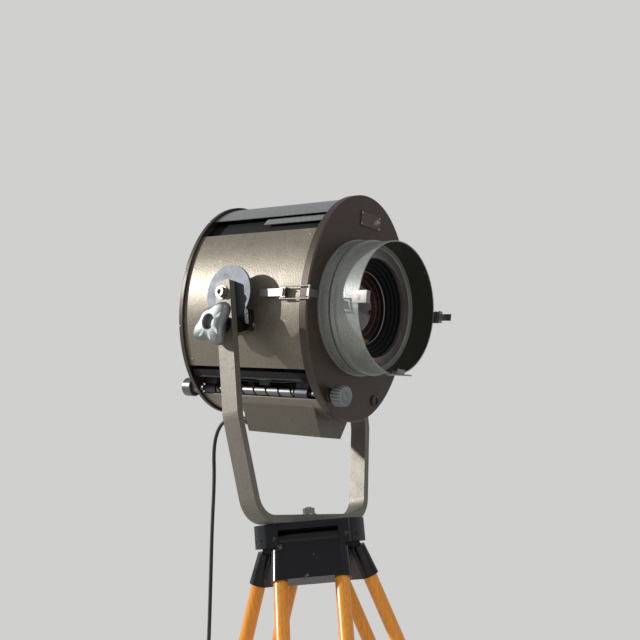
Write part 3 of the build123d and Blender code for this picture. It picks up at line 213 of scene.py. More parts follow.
@dataclass(frozen=True)
class Finish:
    """One finish: its colours, how worn it is and the scale of its grain.

    Args:
        name: Material name.
        kind: Which shader recipe it follows.
        base: Main colour, linear red, green and blue.
        second: Colour of the worn places, grain or stains.
        roughness: Mean roughness.
        wear: Share of the surface that shows the second colour, 0 to 1.
        grain: Size of the fine relief in millimetres.
        relief: Strength of the relief, 0 to 1.
    """

    name: str
    kind: Kind
    base: tuple
    second: tuple
    roughness: float = 0.45
    wear: float = 0.1
    grain: float = 2.0
    relief: float = 0.3

    def build(self) -> bpy.types.Material:
        """Make the material from noise in Object coordinates.

        Returns:
            The finished Blender material.
        """
        mat = bpy.data.materials.new(self.name)
        mat.use_nodes = True
        tree = mat.node_tree
        bsdf = tree.nodes["Principled BSDF"]
        place = tree.nodes.new("ShaderNodeTexCoord").outputs["Object"]
        if self.kind is Kind.GLASS:
            self._glass(tree, bsdf, place)
            return mat
        if self.kind is Kind.WOOD:
            stretch = tree.nodes.new("ShaderNodeMapping")
            stretch.inputs["Scale"].default_value = (1.0, 1.0, WOOD_STRETCH)
            tree.links.new(place, stretch.inputs["Vector"])
            fine_place = stretch.outputs["Vector"]
        else:
            fine_place = place
        fine = self._noise(tree, fine_place, 1.0 / (self.grain * MM), FINE_DETAIL)
        broad = self._noise(tree, place, *BROAD_NOISE)
        patch = self._noise(tree, place, *PATCH_NOISE)
        worn = self._ramp(tree, patch, 0.72 - 0.34 * self.wear, 0.80 - 0.30 * self.wear)
        tone = self._mix(tree, broad, self.base, tuple(c * 0.72 for c in self.base))
        if self.kind in (Kind.HAMMERED, Kind.WOOD):
            speck = self._ramp(tree, fine, 0.35, 0.68)
            tone = self._mix(tree, speck, tone, tuple(c * 1.35 for c in self.base), 0.55)
        colour = self._mix(tree, worn, tone, self.second)
        tree.links.new(colour, bsdf.inputs["Base Color"])
        self._set_lights(bsdf)
        spread = tree.nodes.new("ShaderNodeMapRange")
        spread.inputs["To Min"].default_value = max(0.03, self.roughness - 0.12)
        spread.inputs["To Max"].default_value = min(1.0, self.roughness + 0.14)
        tree.links.new(patch, spread.inputs["Value"])
        tree.links.new(spread.outputs["Result"], bsdf.inputs["Roughness"])
        bump = tree.nodes.new("ShaderNodeBump")
        bump.inputs["Strength"].default_value = self.relief
        bump.inputs["Distance"].default_value = GRAIN_DEPTH
        tree.links.new(fine, bump.inputs["Height"])
        chip = tree.nodes.new("ShaderNodeBump")
        chip.inputs["Strength"].default_value = 0.35 * self.wear
        chip.inputs["Distance"].default_value = CHIP_DEPTH
        chip.invert = True
        tree.links.new(worn, chip.inputs["Height"])
        tree.links.new(bump.outputs["Normal"], chip.inputs["Normal"])
        tree.links.new(chip.outputs["Normal"], bsdf.inputs["Normal"])
        return mat

    def _set_lights(self, bsdf: bpy.types.Node) -> None:
        """Set the metal and coat values that are the same all over the finish.

        Args:
            bsdf: The material's shader node.
        """
        metal = {Kind.METAL: 0.95, Kind.MIRROR: 1.0, Kind.HAMMERED: 0.45}.get(self.kind, 0.0)
        coat = {Kind.GLOSS_PAINT: 0.2, Kind.WOOD: 0.35, Kind.HAMMERED: 0.15, Kind.CERAMIC: 0.5}
        bsdf.inputs["Metallic"].default_value = metal
        bsdf.inputs["Coat Weight"].default_value = coat.get(self.kind, 0.0)
        bsdf.inputs["Coat Roughness"].default_value = 0.2
        if self.kind in (Kind.GLOSS_PAINT, Kind.MATT):
            bsdf.inputs["Specular IOR Level"].default_value = 0.3

    def _glass(self, tree: bpy.types.NodeTree, bsdf: bpy.types.Node,
               place: bpy.types.NodeSocket) -> None:
        """Make the shader glass with a thin coating whose tint drifts over the surface.

        Args:
            tree: The material's nodes.
            bsdf: Its shader node.
            place: Object coordinates.
        """
        drift = self._noise(tree, place, 14.0, 2.0)
        tint = self._mix(tree, drift, self.base, self.second)
        tree.links.new(tint, bsdf.inputs["Base Color"])
        bsdf.inputs["Transmission Weight"].default_value = 0.92
        bsdf.inputs["Roughness"].default_value = self.roughness
        bsdf.inputs["IOR"].default_value = 1.5
        bsdf.inputs["Thin Film Thickness"].default_value = 420.0
        bsdf.inputs["Thin Film IOR"].default_value = 1.7

    @staticmethod
    def _noise(tree: bpy.types.NodeTree, place: bpy.types.NodeSocket, scale: float,
               detail: float) -> bpy.types.NodeSocket:
        """Add a noise texture.

        Args:
            tree: The material's nodes.
            place: Coordinates that it reads.
            scale: Its scale, per metre.
            detail: Its octaves.

        Returns:
            The noise, 0 to 1.
        """
        node = tree.nodes.new("ShaderNodeTexNoise")
        node.inputs["Scale"].default_value = scale
        node.inputs["Detail"].default_value = detail
        tree.links.new(place, node.inputs["Vector"])
        return node.outputs["Fac"]

    @staticmethod
    def _ramp(tree: bpy.types.NodeTree, value: bpy.types.NodeSocket, low: float,
              high: float) -> bpy.types.NodeSocket:
        """Squeeze a value to (value - low) / (high - low), held between 0 and 1.

        Args:
            tree: The material's nodes.
            value: What is squeezed.
            low: Value that becomes 0.
            high: Value that becomes 1.

        Returns:
            The squeezed value.
        """
        node = tree.nodes.new("ShaderNodeMapRange")
        node.inputs["From Min"].default_value = low
        node.inputs["From Max"].default_value = high
        tree.links.new(value, node.inputs["Value"])
        return node.outputs["Result"]

    @staticmethod
    def _mix(tree: bpy.types.NodeTree, factor: bpy.types.NodeSocket,
             first: Union[tuple, bpy.types.NodeSocket], second: Union[tuple, bpy.types.NodeSocket],
             share: float = 1.0) -> bpy.types.NodeSocket:
        """Mix two colours: first + factor * share * (second - first).

        Args:
            tree: The material's nodes.
            factor: How much of the second shows, 0 to 1.
            first: A colour, as a value or a socket.
            second: A colour, as a value or a socket.
            share: Most of the second that may show.

        Returns:
            The mixed colour.
        """
        node = tree.nodes.new("ShaderNodeMix")
        node.data_type = "RGBA"
        scaled = tree.nodes.new("ShaderNodeMapRange")
        scaled.inputs["To Max"].default_value = share
        tree.links.new(factor, scaled.inputs["Value"])
        tree.links.new(scaled.outputs["Result"], node.inputs[0])
        for socket, value in ((node.inputs[6], first), (node.inputs[7], second)):
            if isinstance(value, tuple):
                socket.default_value = (*value, 1.0)
            else:
                tree.links.new(value, socket)
        return node.outputs[2]


FINISHES = {
    "drum": Finish("drum_enamel", Kind.HAMMERED,
        (0.215, 0.185, 0.138), (0.36, 0.31, 0.23), 0.40, 0.10, 2.6, 0.5),
    # The next finish is the drum's enamel made darker: painted shade for the terminal box, which sits
    # in shade under the drum.
    "box": Finish("enamel_painted_under_shade", Kind.HAMMERED,
        (0.115, 0.10, 0.075), (0.25, 0.21, 0.16), 0.40, 0.10, 2.6, 0.5),
    # The next finish is the drum's enamel made darker: painted shade for the front plate and the parts
    # on it, which face away from the key light; the rear plate takes it too.
    "dark": Finish("dark_enamel", Kind.HAMMERED,
        (0.062, 0.044, 0.031), (0.16, 0.12, 0.09), 0.42, 0.10, 2.6, 0.55),
    "grey": Finish("grey_enamel", Kind.HAMMERED,
        (0.33, 0.34, 0.31), (0.42, 0.42, 0.36), 0.36, 0.14, 2.8, 0.6),
    "cover": Finish("cover_enamel", Kind.HAMMERED,
        (0.26, 0.27, 0.26), (0.42, 0.42, 0.40), 0.36, 0.10, 2.6, 0.4),
    "olive": Finish("hood_lining", Kind.MATT,
        (0.030, 0.033, 0.022), (0.06, 0.06, 0.045), 0.60, 0.12, 2.6, 0.5),
    "yoke": Finish("yoke_enamel", Kind.HAMMERED,
        (0.175, 0.155, 0.125), (0.10, 0.07, 0.05), 0.45, 0.12, 2.2, 0.45),
    "matt_black": Finish("matt_black", Kind.MATT,
        (0.006, 0.006, 0.006), (0.03, 0.027, 0.024), 0.70, 0.06, 1.5, 0.3),
    "black": Finish("black_gloss", Kind.GLOSS_PAINT,
        (0.003, 0.003, 0.0033), (0.20, 0.18, 0.15), 0.26, 0.12, 4.0, 0.5),
    "zinc": Finish("zinc_plate", Kind.METAL,
        (0.115, 0.12, 0.13), (0.08, 0.08, 0.077), 0.50, 0.30, 1.2, 0.25),
    "bright": Finish("bright_steel", Kind.METAL,
        (0.36, 0.34, 0.31), (0.16, 0.13, 0.10), 0.33, 0.25, 1.0, 0.25),
    "cast": Finish("cast_alloy", Kind.METAL,
        (0.27, 0.285, 0.275), (0.14, 0.14, 0.13), 0.46, 0.25, 1.6, 0.45),
    "worn_steel": Finish("worn_steel", Kind.METAL,
        (0.20, 0.20, 0.195), (0.36, 0.34, 0.30), 0.36, 0.20, 1.2, 0.3),
    "bezel": Finish("bezel_alloy", Kind.METAL,
        (0.40, 0.34, 0.32), (0.22, 0.18, 0.16), 0.45, 0.15, 1.2, 0.2),
    "wood": Finish("varnished_wood", Kind.WOOD,
        (0.80, 0.29, 0.012), (0.34, 0.11, 0.010), 0.30, 0.06, 3.0, 0.12),
    "rubber": Finish("black_rubber", Kind.RUBBER,
        (0.014, 0.014, 0.014), (0.05, 0.05, 0.05), 0.50, 0.10, 0.8, 0.2),
    "bulb": Finish("lamp_glass", Kind.GLASS,
        (0.96, 0.96, 0.95), (0.92, 0.92, 0.90), 0.03),
    "ceramic": Finish("ceramic", Kind.CERAMIC,
        (0.70, 0.66, 0.58), (0.40, 0.36, 0.30), 0.35, 0.10, 2.0, 0.2),
    "mirror": Finish("mirror", Kind.MIRROR,
        (0.80, 0.80, 0.80), (0.55, 0.55, 0.52), 0.08, 0.10, 3.0, 0.05),
    "label": Finish("label_plate", Kind.METAL,
        (0.16, 0.115, 0.10), (0.42, 0.36, 0.33), 0.42, 0.35, 1.0, 0.4),
    "green": Finish("earth_lead", Kind.RUBBER,
        (0.22, 0.50, 0.05), (0.45, 0.50, 0.05), 0.45, 0.20, 1.5, 0.1),
}

NODE_FINISH = {
    "front_plate": "dark", "rear_plate": "dark", "side_panel_left": "drum",
    "side_panel_right": "drum", "top_cover": "cover", "lower_panel": "drum",
    "vent_baffle": "matt_black", "inner_floor": "matt_black", "terminal_box": "box",
    "rear_vent_cover": "drum", "lens_mount": "grey", "lens_cone": "matt_black",
    "lens_rings": "bezel", "lens_hood": "grey", "accessory_clips": "bright",
    "focus_spindle": "worn_steel", "front_collars": "dark",
    "spindle_bushes": "zinc", "guide_rod": "worn_steel", "lamp_carriage": "zinc",
    "lampholder": "ceramic", "projector_bulb": "bulb", "reflector": "mirror",
    "latch_base": "bright", "latch_lever": "bright", "latch_bail": "bright",
    "catch_plate": "bright", "hinge_leaf": "dark", "door_knuckles": "dark",
    "label_plate": "label", "pivot_hubs": "zinc", "pivot_screws": "bright",
    "cord_gland": "rubber", "yoke_bar": "yoke", "tilt_clamp": "black",
    "stand_head": "black", "hinge_pins": "bright", "centre_bolt": "bright",
    "coil_tie": "rubber", "mains_plug": "rubber",
}
LEG_FINISH = {"castings": "black", "poles": "wood", "slider": "wood", "shoe": "black",
              "clamp_screw": "bright"}


@dataclass
class Paintbox:
    """Builds each finish once and hands it out."""

    made: dict = field(default_factory=dict)

    def get(self, key: str) -> bpy.types.Material:
        """Return the material for a finish key, building it on first use.

        Args:
            key: A key of FINISHES.

        Returns:
            The Blender material.
        """
        if key not in self.made:
            self.made[key] = FINISHES[key].build()
        return self.made[key]

    def paint(self, obj: bpy.types.Object, key: str) -> None:
        """Give an object one finish.

        Args:
            obj: The object to paint.
            key: A key of FINISHES.
        """
        obj.data.materials.clear()
        obj.data.materials.append(self.get(key))


# ------------------------------------------------------------------ surfaces
def mesh_object(name: str, points: np.ndarray, faces: Sequence) -> bpy.types.Object:
    """Make a smooth-shaded object from points and faces.

    Args:
        name: Object name.
        points: Array of points in metres in the row frame.
        faces: Vertex numbers of each face.

    Returns:
        The new object, linked to the scene.
    """
    mesh = bpy.data.meshes.new(name)
    mesh.from_pydata(points.reshape(-1, 3).tolist(), [], faces)
    mesh.polygons.foreach_set("use_smooth", [True] * len(mesh.polygons))
    mesh.update()
    obj = bpy.data.objects.new(name, mesh)
    bpy.context.scene.collection.objects.link(obj)
    log.info("made %s: %d faces", name, len(faces))
    return obj


def ring_faces(rings: int, around: int) -> np.ndarray:
    """Number the faces between neighbouring rings, each ring closed on itself.

    Face (i, j) joins points j and j + 1 of ring i to those of ring i + 1.

    Args:
        rings: Number of rings.
        around: Points round each ring.

    Returns:
        Array of shape (faces, 4).
    """
    index = np.arange(rings * around).reshape(rings, around)
    ahead = np.roll(index, -1, axis=1)
    return np.stack((index[:-1], ahead[:-1], ahead[1:], index[1:]), axis=-1).reshape(-1, 4)


def grid_mesh(name: str, points: np.ndarray, caps: bool = False) -> bpy.types.Object:
    """Make a mesh from a grid of points, one row per closed ring.

    Args:
        name: Object name.
        points: Array of shape (rings, around, 3) in metres in the row frame.
        caps: Whether the first and last rings are closed by a face.

    Returns:
        The new object, with edges sharper than CREASE left sharp.
    """
    rings, around = points.shape[:2]
    faces = ring_faces(rings, around).tolist()
    if caps:
        faces.append(list(range(around))[::-1])
        faces.append(list(range((rings - 1) * around, rings * around)))
    obj = mesh_object(name, points, faces)
    obj.data.set_sharp_from_angle(angle=CREASE)
    return obj


def turned(name: str, x: float, v: float, profile: Sequence, around: int,
           ripple: Optional[Callable[[np.ndarray, np.ndarray], np.ndarray]] = None) -> bpy.types.Object:
    """Turn a profile about an axis that runs forward through the lamp.

    At angle a the surface is at x + r cos a across and v + r sin a up, where r is the profile's
    radius, or what ripple makes of it.

    Args:
        name: Object name.
        x: Axis position across, mm.
        v: Axis position up, mm.
        profile: Pairs of distance forward and radius, mm.
        around: Points round each ring.
        ripple: Gives the radius from the angles, as a row, and the profile's radii, as a column.

    Returns:
        The new object, closed at both ends.
    """
    u, radius = np.array(profile, dtype=float).T[:, :, None]
    angles = around_circle(around)
    if ripple:
        radius = ripple(angles, radius)
    return grid_mesh(name, lamp_grid(x + radius * np.cos(angles), u, v + radius * np.sin(angles)), True)


def tube(name: str, centres: np.ndarray, radius: float, around: int = 10) -> bpy.types.Object:
    """Sweep a circle along a line of points with a steady frame.

    Args:
        name: Object name.
        centres: Array of points in metres in the row frame.
        radius: Radius in metres.
        around: Points round the circle.

    Returns:
        The new object.
    """
    tangents = np.gradient(centres, axis=0)
    tangents /= np.linalg.norm(tangents, axis=1)[:, None]
    side = np.cross(tangents[0], (0.0, 0.0, 1.0))
    if np.linalg.norm(side) < 1e-3:
        side = np.cross(tangents[0], (1.0, 0.0, 0.0))
    rings = []
    angles = np.linspace(0, 2 * pi, around, endpoint=False)
    for centre, tangent in zip(centres, tangents):
        side = side - tangent * np.dot(side, tangent)
        side /= np.linalg.norm(side)
        up = np.cross(tangent, side)
        rings.append(centre + radius * (np.outer(np.cos(angles), side) + np.outer(np.sin(angles), up)))
    return grid_mesh(name, np.array(rings), True)


def dome_field(name: str, spots: Sequence, radius: float, height: float) -> bpy.types.Object:
    """Make round screw heads, each a low dome that starts a little under the sheet.

    Ring k of a dome has radius s R and height H (1 - s^4), for the shares s in DOME_SHARES.

    Args:
        name: Object name.
        spots: Pairs of a point and an outward direction, in the row frame.
        radius: Head radius R in metres.
        height: Head height H in metres.

    Returns:
        One object with all the heads.
    """
    shares = np.array((1.0, *DOME_SHARES))
    lifts = height * (1 - shares**4)
    lifts[0] = -DOME_SINK
    angles = around_circle(DOME_SIDES)[0]
    one = ring_faces(len(shares), DOME_SIDES).tolist()
    one.append(list(range((len(shares) - 1) * DOME_SIDES, len(shares) * DOME_SIDES)))
    domes, faces = [], []
    for place, normal in spots:
        out = Vector(normal).normalized()
        side = out.orthogonal().normalized()
        up = out.cross(side)
        circle = np.outer(np.cos(angles), side) + np.outer(np.sin(angles), up)
        start = len(domes) * len(shares) * DOME_SIDES
        domes.append(np.array(place) + radius * shares[:, None, None] * circle
                     + lifts[:, None, None] * np.array(out))
        faces.extend([start + n for n in face] for face in one)
    return mesh_object(name, np.array(domes), faces)


# ------------------------------------------------------------------ sub-assemblies
@dataclass
class MainsLead:
    """The mains lead: down from the gland, over the floor and round its coil.

    Args:
        paint: Where its finish comes from.
        layer_turns: Turns in each of the coil's two full layers.
        climb_turns: Part of a turn in which the lead steps up a layer.
        plug_turns: Part of a turn in which it crosses in to the plug.
        outer_radius: Radius of the coil's outermost turn, mm.
        start_angle: Where the coil starts, degrees.
    """

    paint: Paintbox
    layer_turns: float = 2.0
    climb_turns: float = 0.17
    plug_turns: float = 0.69
    outer_radius: float = 45.0
    start_angle: float = 172.0

    def _coil(self) -> list:
        """Return the coil's points: spiral in, step up, spiral out, step up, cross to the plug.

        Returns:
            Points about the tilt axis, in millimetres.
        """
        points = []
        angle = radians(self.start_angle)
        radius = self.outer_radius - COIL_PITCH / 2
        height = REST_Z
        plan = ((self.layer_turns, -1, 0.0), (self.climb_turns, -1, 1.0), (self.layer_turns, 1, 0.0),
                (self.climb_turns, 1, 1.0), (self.plug_turns, -2.2, 0.0))
        for turns, inward, rise in plan:
            count = max(3, round(turns * COIL_POINTS))
            for _ in range(count):
                angle += 2 * pi * turns / count
                radius += inward * COIL_PITCH * turns / count
                height += rise * COIL_PITCH / count
                points.append((COIL_CENTRE[0] + radius * cos(angle),
                               COIL_CENTRE[1] + radius * sin(angle), height))
        points.append((PLUG_ENTRY[0] - 0.6, PLUG_ENTRY[1] + 26, height))
        points.append(PLUG_ENTRY)
        return points

    def build(self) -> bpy.types.Object:
        """Returns:
            The curve object.
        """
        start = lamp(*GLAND)
        out = lamp(GLAND[0], GLAND[1] - GLAND_LENGTH, GLAND[2])
        route = [start, out] + [row(p) for p in CORD_ROUTE] + [row(p) for p in self._coil()]
        curve = bpy.data.curves.new("mains_lead", "CURVE")
        curve.dimensions = "3D"
        curve.bevel_depth = CORD_DIAMETER / 2 * MM
        curve.bevel_resolution = 4
        curve.resolution_u = 8
        curve.use_fill_caps = True
        spline = curve.splines.new("NURBS")
        spline.points.add(len(route) - 1)
        for target, point in zip(spline.points, route):
            target.co = (*point, 1.0)
        spline.order_u = 3
        spline.use_endpoint_u = True
        obj = bpy.data.objects.new("mains_lead", curve)
        bpy.context.scene.collection.objects.link(obj)
        self.paint.paint(obj, "rubber")
        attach(obj, "stand_head")
        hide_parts("mains_cord", "cord_coil")
        log.info("made the mains lead with %d points", len(route))
        return obj


@dataclass
class FocusKnob:
    """The knurled front knob, over its plain CAD shape.

    Args:
        paint: Where its finish comes from.
        ribs: Number of ribs round the grip.
        groove: Depth of the grooves between the ribs, mm.
        grip_from: Radius past which the knob is ribbed, mm.
        profile: Pairs of distance forward and radius, from the stub to the dished face, mm.
    """

    paint: Paintbox
    ribs: int = 22
    groove: float = 1.1
    grip_from: float = 15.5
    profile: tuple = ((110, 5), (151, 5), (151, 9.2), (156.6, 10), (157, 14.5), (157.6, 16.4),
                      (159, 17.3), (174.5, 17.3), (176.4, 16.2), (177, 14.0), (176.2, 11.5),
                      (175.8, 6.0), (176.4, 5.0), (176.4, 0.5))

    def _knurl(self, angles: np.ndarray, radius: np.ndarray) -> np.ndarray:
        """Cut the ribs: r - g |sin(n a / 2)|^0.6 on the grip, and plain elsewhere.

        Args:
            angles: Angles round the knob.
            radius: The profile's radii, mm.

        Returns:
            The radius at each ring and angle, mm.
        """
        grooves = self.groove * np.abs(np.sin(self.ribs * angles / 2)) ** 0.6
        return radius - np.where(radius < self.grip_from, 0.0, grooves)

    def build(self) -> None:
        """Make the knob and hand it to its CAD body."""
        obj = turned("front_knob_knurled", WORKS_X, WORKS_Z, self.profile, 220, self._knurl)
        self.paint.paint(obj, "cast")
        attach(obj, "front_knob")
        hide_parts("front_knob")


@dataclass
class HoodLining:
    """Dark lining inside the hood.

    Args:
        paint: Where its finish comes from.
        gap: Room between the lining and the sheet, mm.
        lip: How far the front edge turns out to the sheet, mm.
        rear_gap: Room behind the lining, over the hood's flange, mm.
        front_gap: Room in front of it, inside the hood's edge, mm.
    """

    paint: Paintbox
    gap: float = 0.35
    lip: float = 0.3
    rear_gap: float = 2.2
    front_gap: float = 0.6

    def build(self) -> None:
        """Make a thin sleeve r = R - gap just inside the hood, faced inwards, with its front lip."""
        inner = HOOD_RADIUS - HOOD_SHEET - self.gap
        along = np.linspace(HOOD_REAR_U + self.rear_gap, HOOD_FRONT_U - self.front_gap, 6)
        u = np.append(along, along[-1])[:, None]
        radius = np.append(np.full(len(along), inner), inner + self.lip)[:, None]
        angles = around_circle(128)[:, ::-1]
        obj = grid_mesh("hood_lining", lamp_grid(radius * np.cos(angles), u, radius * np.sin(angles)))
        self.paint.paint(obj, "olive")
        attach(obj, "front_door")


@dataclass(frozen=True)
class LensPaintedReflection:
    """Lens colours with painted light: a dark middle as painted shade and a yellow-green painted
    reflection towards one edge.

    Args:
        centre: Point, in the row frame, that the rings of colour are centred on.
        reach: Distance in metres at which the colours end.
        stops: Share of the reach and colour of each ring.
    """

    centre: tuple
    reach: float
    # The stops paint light: a dark middle as painted shade and a bright yellow-green band as a painted
    # reflection.
    stops: tuple = ((0.0, (0.035, 0.012, 0.010)), (0.45, (0.020, 0.010, 0.008)),
                    (0.62, (0.06, 0.022, 0.014)), (0.73, (0.80, 0.82, 0.10)),
                    (0.90, (0.55, 0.62, 0.10)), (1.0, (0.05, 0.05, 0.015)))

    def build(self) -> bpy.types.Material:
        """Make the material: colour = ramp(distance from centre / reach), which paints the shade and
        the reflection, under a clear coat.

        Returns:
            The finished Blender material.
        """
        mat = bpy.data.materials.new("lens_painted_reflection")
        mat.use_nodes = True
        tree = mat.node_tree
        bsdf = tree.nodes["Principled BSDF"]
        place = tree.nodes.new("ShaderNodeTexCoord").outputs["Object"]
        gap = tree.nodes.new("ShaderNodeVectorMath")
        gap.operation = "DISTANCE"
        gap.inputs[1].default_value = self.centre
        tree.links.new(place, gap.inputs[0])
        share = tree.nodes.new("ShaderNodeMapRange")
        share.inputs["From Max"].default_value = self.reach
        tree.links.new(gap.outputs["Value"], share.inputs["Value"])
        ramp = tree.nodes.new("ShaderNodeValToRGB")
        rings = ramp.color_ramp.elements
        rings[0].color = (*self.stops[0][1], 1.0)
        rings[1].color = (*self.stops[-1][1], 1.0)
        for at, colour in self.stops[1:-1]:
            rings.new(at).color = (*colour, 1.0)
        tree.links.new(share.outputs["Result"], ramp.inputs["Fac"])
        tree.links.new(ramp.outputs["Color"], bsdf.inputs["Base Color"])
        bsdf.inputs["Roughness"].default_value = 0.06
        bsdf.inputs["IOR"].default_value = 1.52
        bsdf.inputs["Coat Weight"].default_value = 1.0
        bsdf.inputs["Coat Roughness"].default_value = 0.02
        return mat


@dataclass
class Optics:
    """The lens, with its painted reflection, and the bright ring that shows round it.

    Args:
        paint: Where the ring's finish comes from.
        edge: Thickness of the lens at its rim, mm.
        reflection_centre: Centre of the painted reflection's colours, as x, u and v on the level lamp,
            mm.
        reflection_reach: Reach of those colours in metres.
        trim: Distance forward of the lens's rim and radius along the trim ring's section, mm.
    """

    paint: Paintbox
    edge: float = 5.0
    reflection_centre: tuple = (20.0, 152.0, 6.0)
    reflection_reach: float = 0.088
    trim: tuple = ((6.2, 58.9), (7.3, 58.9), (7.7, 59.7), (7.3, 60.7), (7.0, 60.7))

    def _lens_profile(self) -> list:
        """Return the lens's half section, flat face first.

        The curved face is u = rim + sqrt(C^2 - r^2) - sqrt(C^2 - R^2).

        Returns:
            Pairs of distance forward and radius, mm.
        """
        radii = np.linspace(LENS_RADIUS - 0.3, 0.3, 26)
        curved = LENS_RIM_U + np.sqrt(LENS_CURVE**2 - radii**2) - sqrt(LENS_CURVE**2 - LENS_RADIUS**2)
        rear = LENS_RIM_U - self.edge
        side = [(rear, 0.3), (rear, LENS_RADIUS - 0.4), (rear + 0.4, LENS_RADIUS),
                (LENS_RIM_U - 0.3, LENS_RADIUS)]
        return side + list(zip(curved, radii))

    def build(self) -> None:
        """Make the lens and its trim ring."""
        lens = turned("lens_with_painted_reflection", 0.0, 0.0, self._lens_profile(), 96)
        lens.data.materials.append(LensPaintedReflection(tuple(lamp(*self.reflection_centre)), self.reflection_reach).build())
        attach(lens, "front_door")
        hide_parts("lens")
        forward, radius = np.array(self.trim).T[:, :, None]
        angles = around_circle(128)
        points = lamp_grid(radius * np.cos(angles), LENS_RIM_U + forward, radius * np.sin(angles))
        trim = grid_mesh("lens_trim", points)
        self.paint.paint(trim, "bright")
        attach(trim, "front_door")


@dataclass
class StarKnob:
    """The cast three-armed knob, with soft webs between its arms, and its stud.

    Args:
        paint: Where its finish comes from.
        waist: Radius between the arms, mm.
        reach: How far an arm's tip stands out past the waist, mm.
        spread: Half-width of an arm's bell curve, radians.
        hollow: Distance in from the outer face and radius down the hollow in it, mm.
        body: Distance in from the outer face and how much the outline grows there, mm.
        stud: Radius of the stud, mm.
    """

    paint: Paintbox
    waist: float = 24.0
    reach: float = 17.0
    spread: float = 0.46
    hollow: tuple = ((8, 0.5), (8, 10.0), (1.5, 11.3), (0, 13.0))
    body: tuple = ((0.6, -6.5), (2.6, -3.0), (5.5, -0.9), (10, 0.0), (14.5, -0.9), (18, -3.0),
                   (KNOB_THICKNESS, -6.5))
    stud: float = 4.0

    def _outline(self, angles: np.ndarray) -> np.ndarray:
        """Outline radius: waist + reach times the sum of exp(-(d / spread)^2) over the arms.

        Args:
            angles: Angles round the knob; d is the turn from an arm to the angle.

        Returns:
            The radius at each angle, mm.
        """
        turns = angles - np.radians(KNOB_ARMS)[:, None]
        d = np.arctan2(np.sin(turns), np.cos(turns))
        return self.waist + self.reach * np.exp(-(d / self.spread) ** 2).sum(axis=0)

    def build(self) -> None:
        """Make the rings from the hollow to the stud's end, round ones and outlined ones."""
        face = KNOB_INNER_X - KNOB_THICKNESS
        angles = around_circle(180)
        outline = self._outline(angles)
        rings = [(face + inward, np.full_like(outline, radius)) for inward, radius in self.hollow]
        rings += [(face + inward, outline + growth) for inward, growth in self.body]
        rings += [(x, np.full_like(outline, radius)) for x, radius in (
            (KNOB_INNER_X, self.stud + 0.2), (KNOB_INNER_X + 0.4, self.stud),
            (STUD_END_X, self.stud), (STUD_END_X, 0.5))]
        x = np.array([place for place, _ in rings])[:, None]
        radius = np.array([ring for _, ring in rings])
        points = row_grid(x, radius * np.cos(angles), KNOB_Z + radius * np.sin(angles))
        obj = grid_mesh("star_knob_cast", points, True)
        self.paint.paint(obj, "cast")
        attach(obj, "star_knob")
        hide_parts("star_knob")


@dataclass(frozen=True)
class Strip:
    """One sheet strip that follows the drum's oval.

    Args:
        name: Name of the piece.
        finish: Its key in FINISHES.
        slot: Name of a slot for it; not used.
        inset: How far it lies inside the oval, mm.
        arc: First and last parameter of the ellipse, degrees.
        ends: Distance forward of its rear and front ends, mm.
    """

    name: str
    finish: str
    slot: str
    inset: float
    arc: tuple
    ends: tuple


@dataclass
class Strips:
    """Sheet strips that show in the two long openings of the drum's side; the grey one in the top
    opening is painted light seen through the gap.

    Args:
        paint: Where their finish comes from.
        sheet: Thickness of the strips, mm.
        strips: The strips.
    """

    paint: Paintbox
    sheet: float = 1.0
    strips: tuple = (
        # This grey sheet in the top opening stands in for light seen through the gap: painted light.
        Strip("painted_light_strip", "cover", "grey_enamel", 9.0, (127.5, 133.0), (-5, 128)),
        Strip("floor_strip", "matt_black", "matt_black", 6.2, (221.0, 226.0), (-128, 126)),
    )

    def build(self) -> None:
        """Make each strip x = (A - i) cos t, v = (B - i) sin t, out one face and back the other."""
        for strip in self.strips:
            out = np.radians(np.linspace(*strip.arc, 6))
            t = np.concatenate((out, out[::-1]))
            inset = np.repeat((strip.inset, strip.inset + self.sheet), len(out))
            points = lamp_grid((HALF_WIDTH - inset) * np.cos(t), np.array(strip.ends)[:, None],
                               (HALF_HEIGHT - inset) * np.sin(t))
            obj = grid_mesh(strip.name, points, True)
            self.paint.paint(obj, strip.finish)
            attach(obj, "lamp_house")


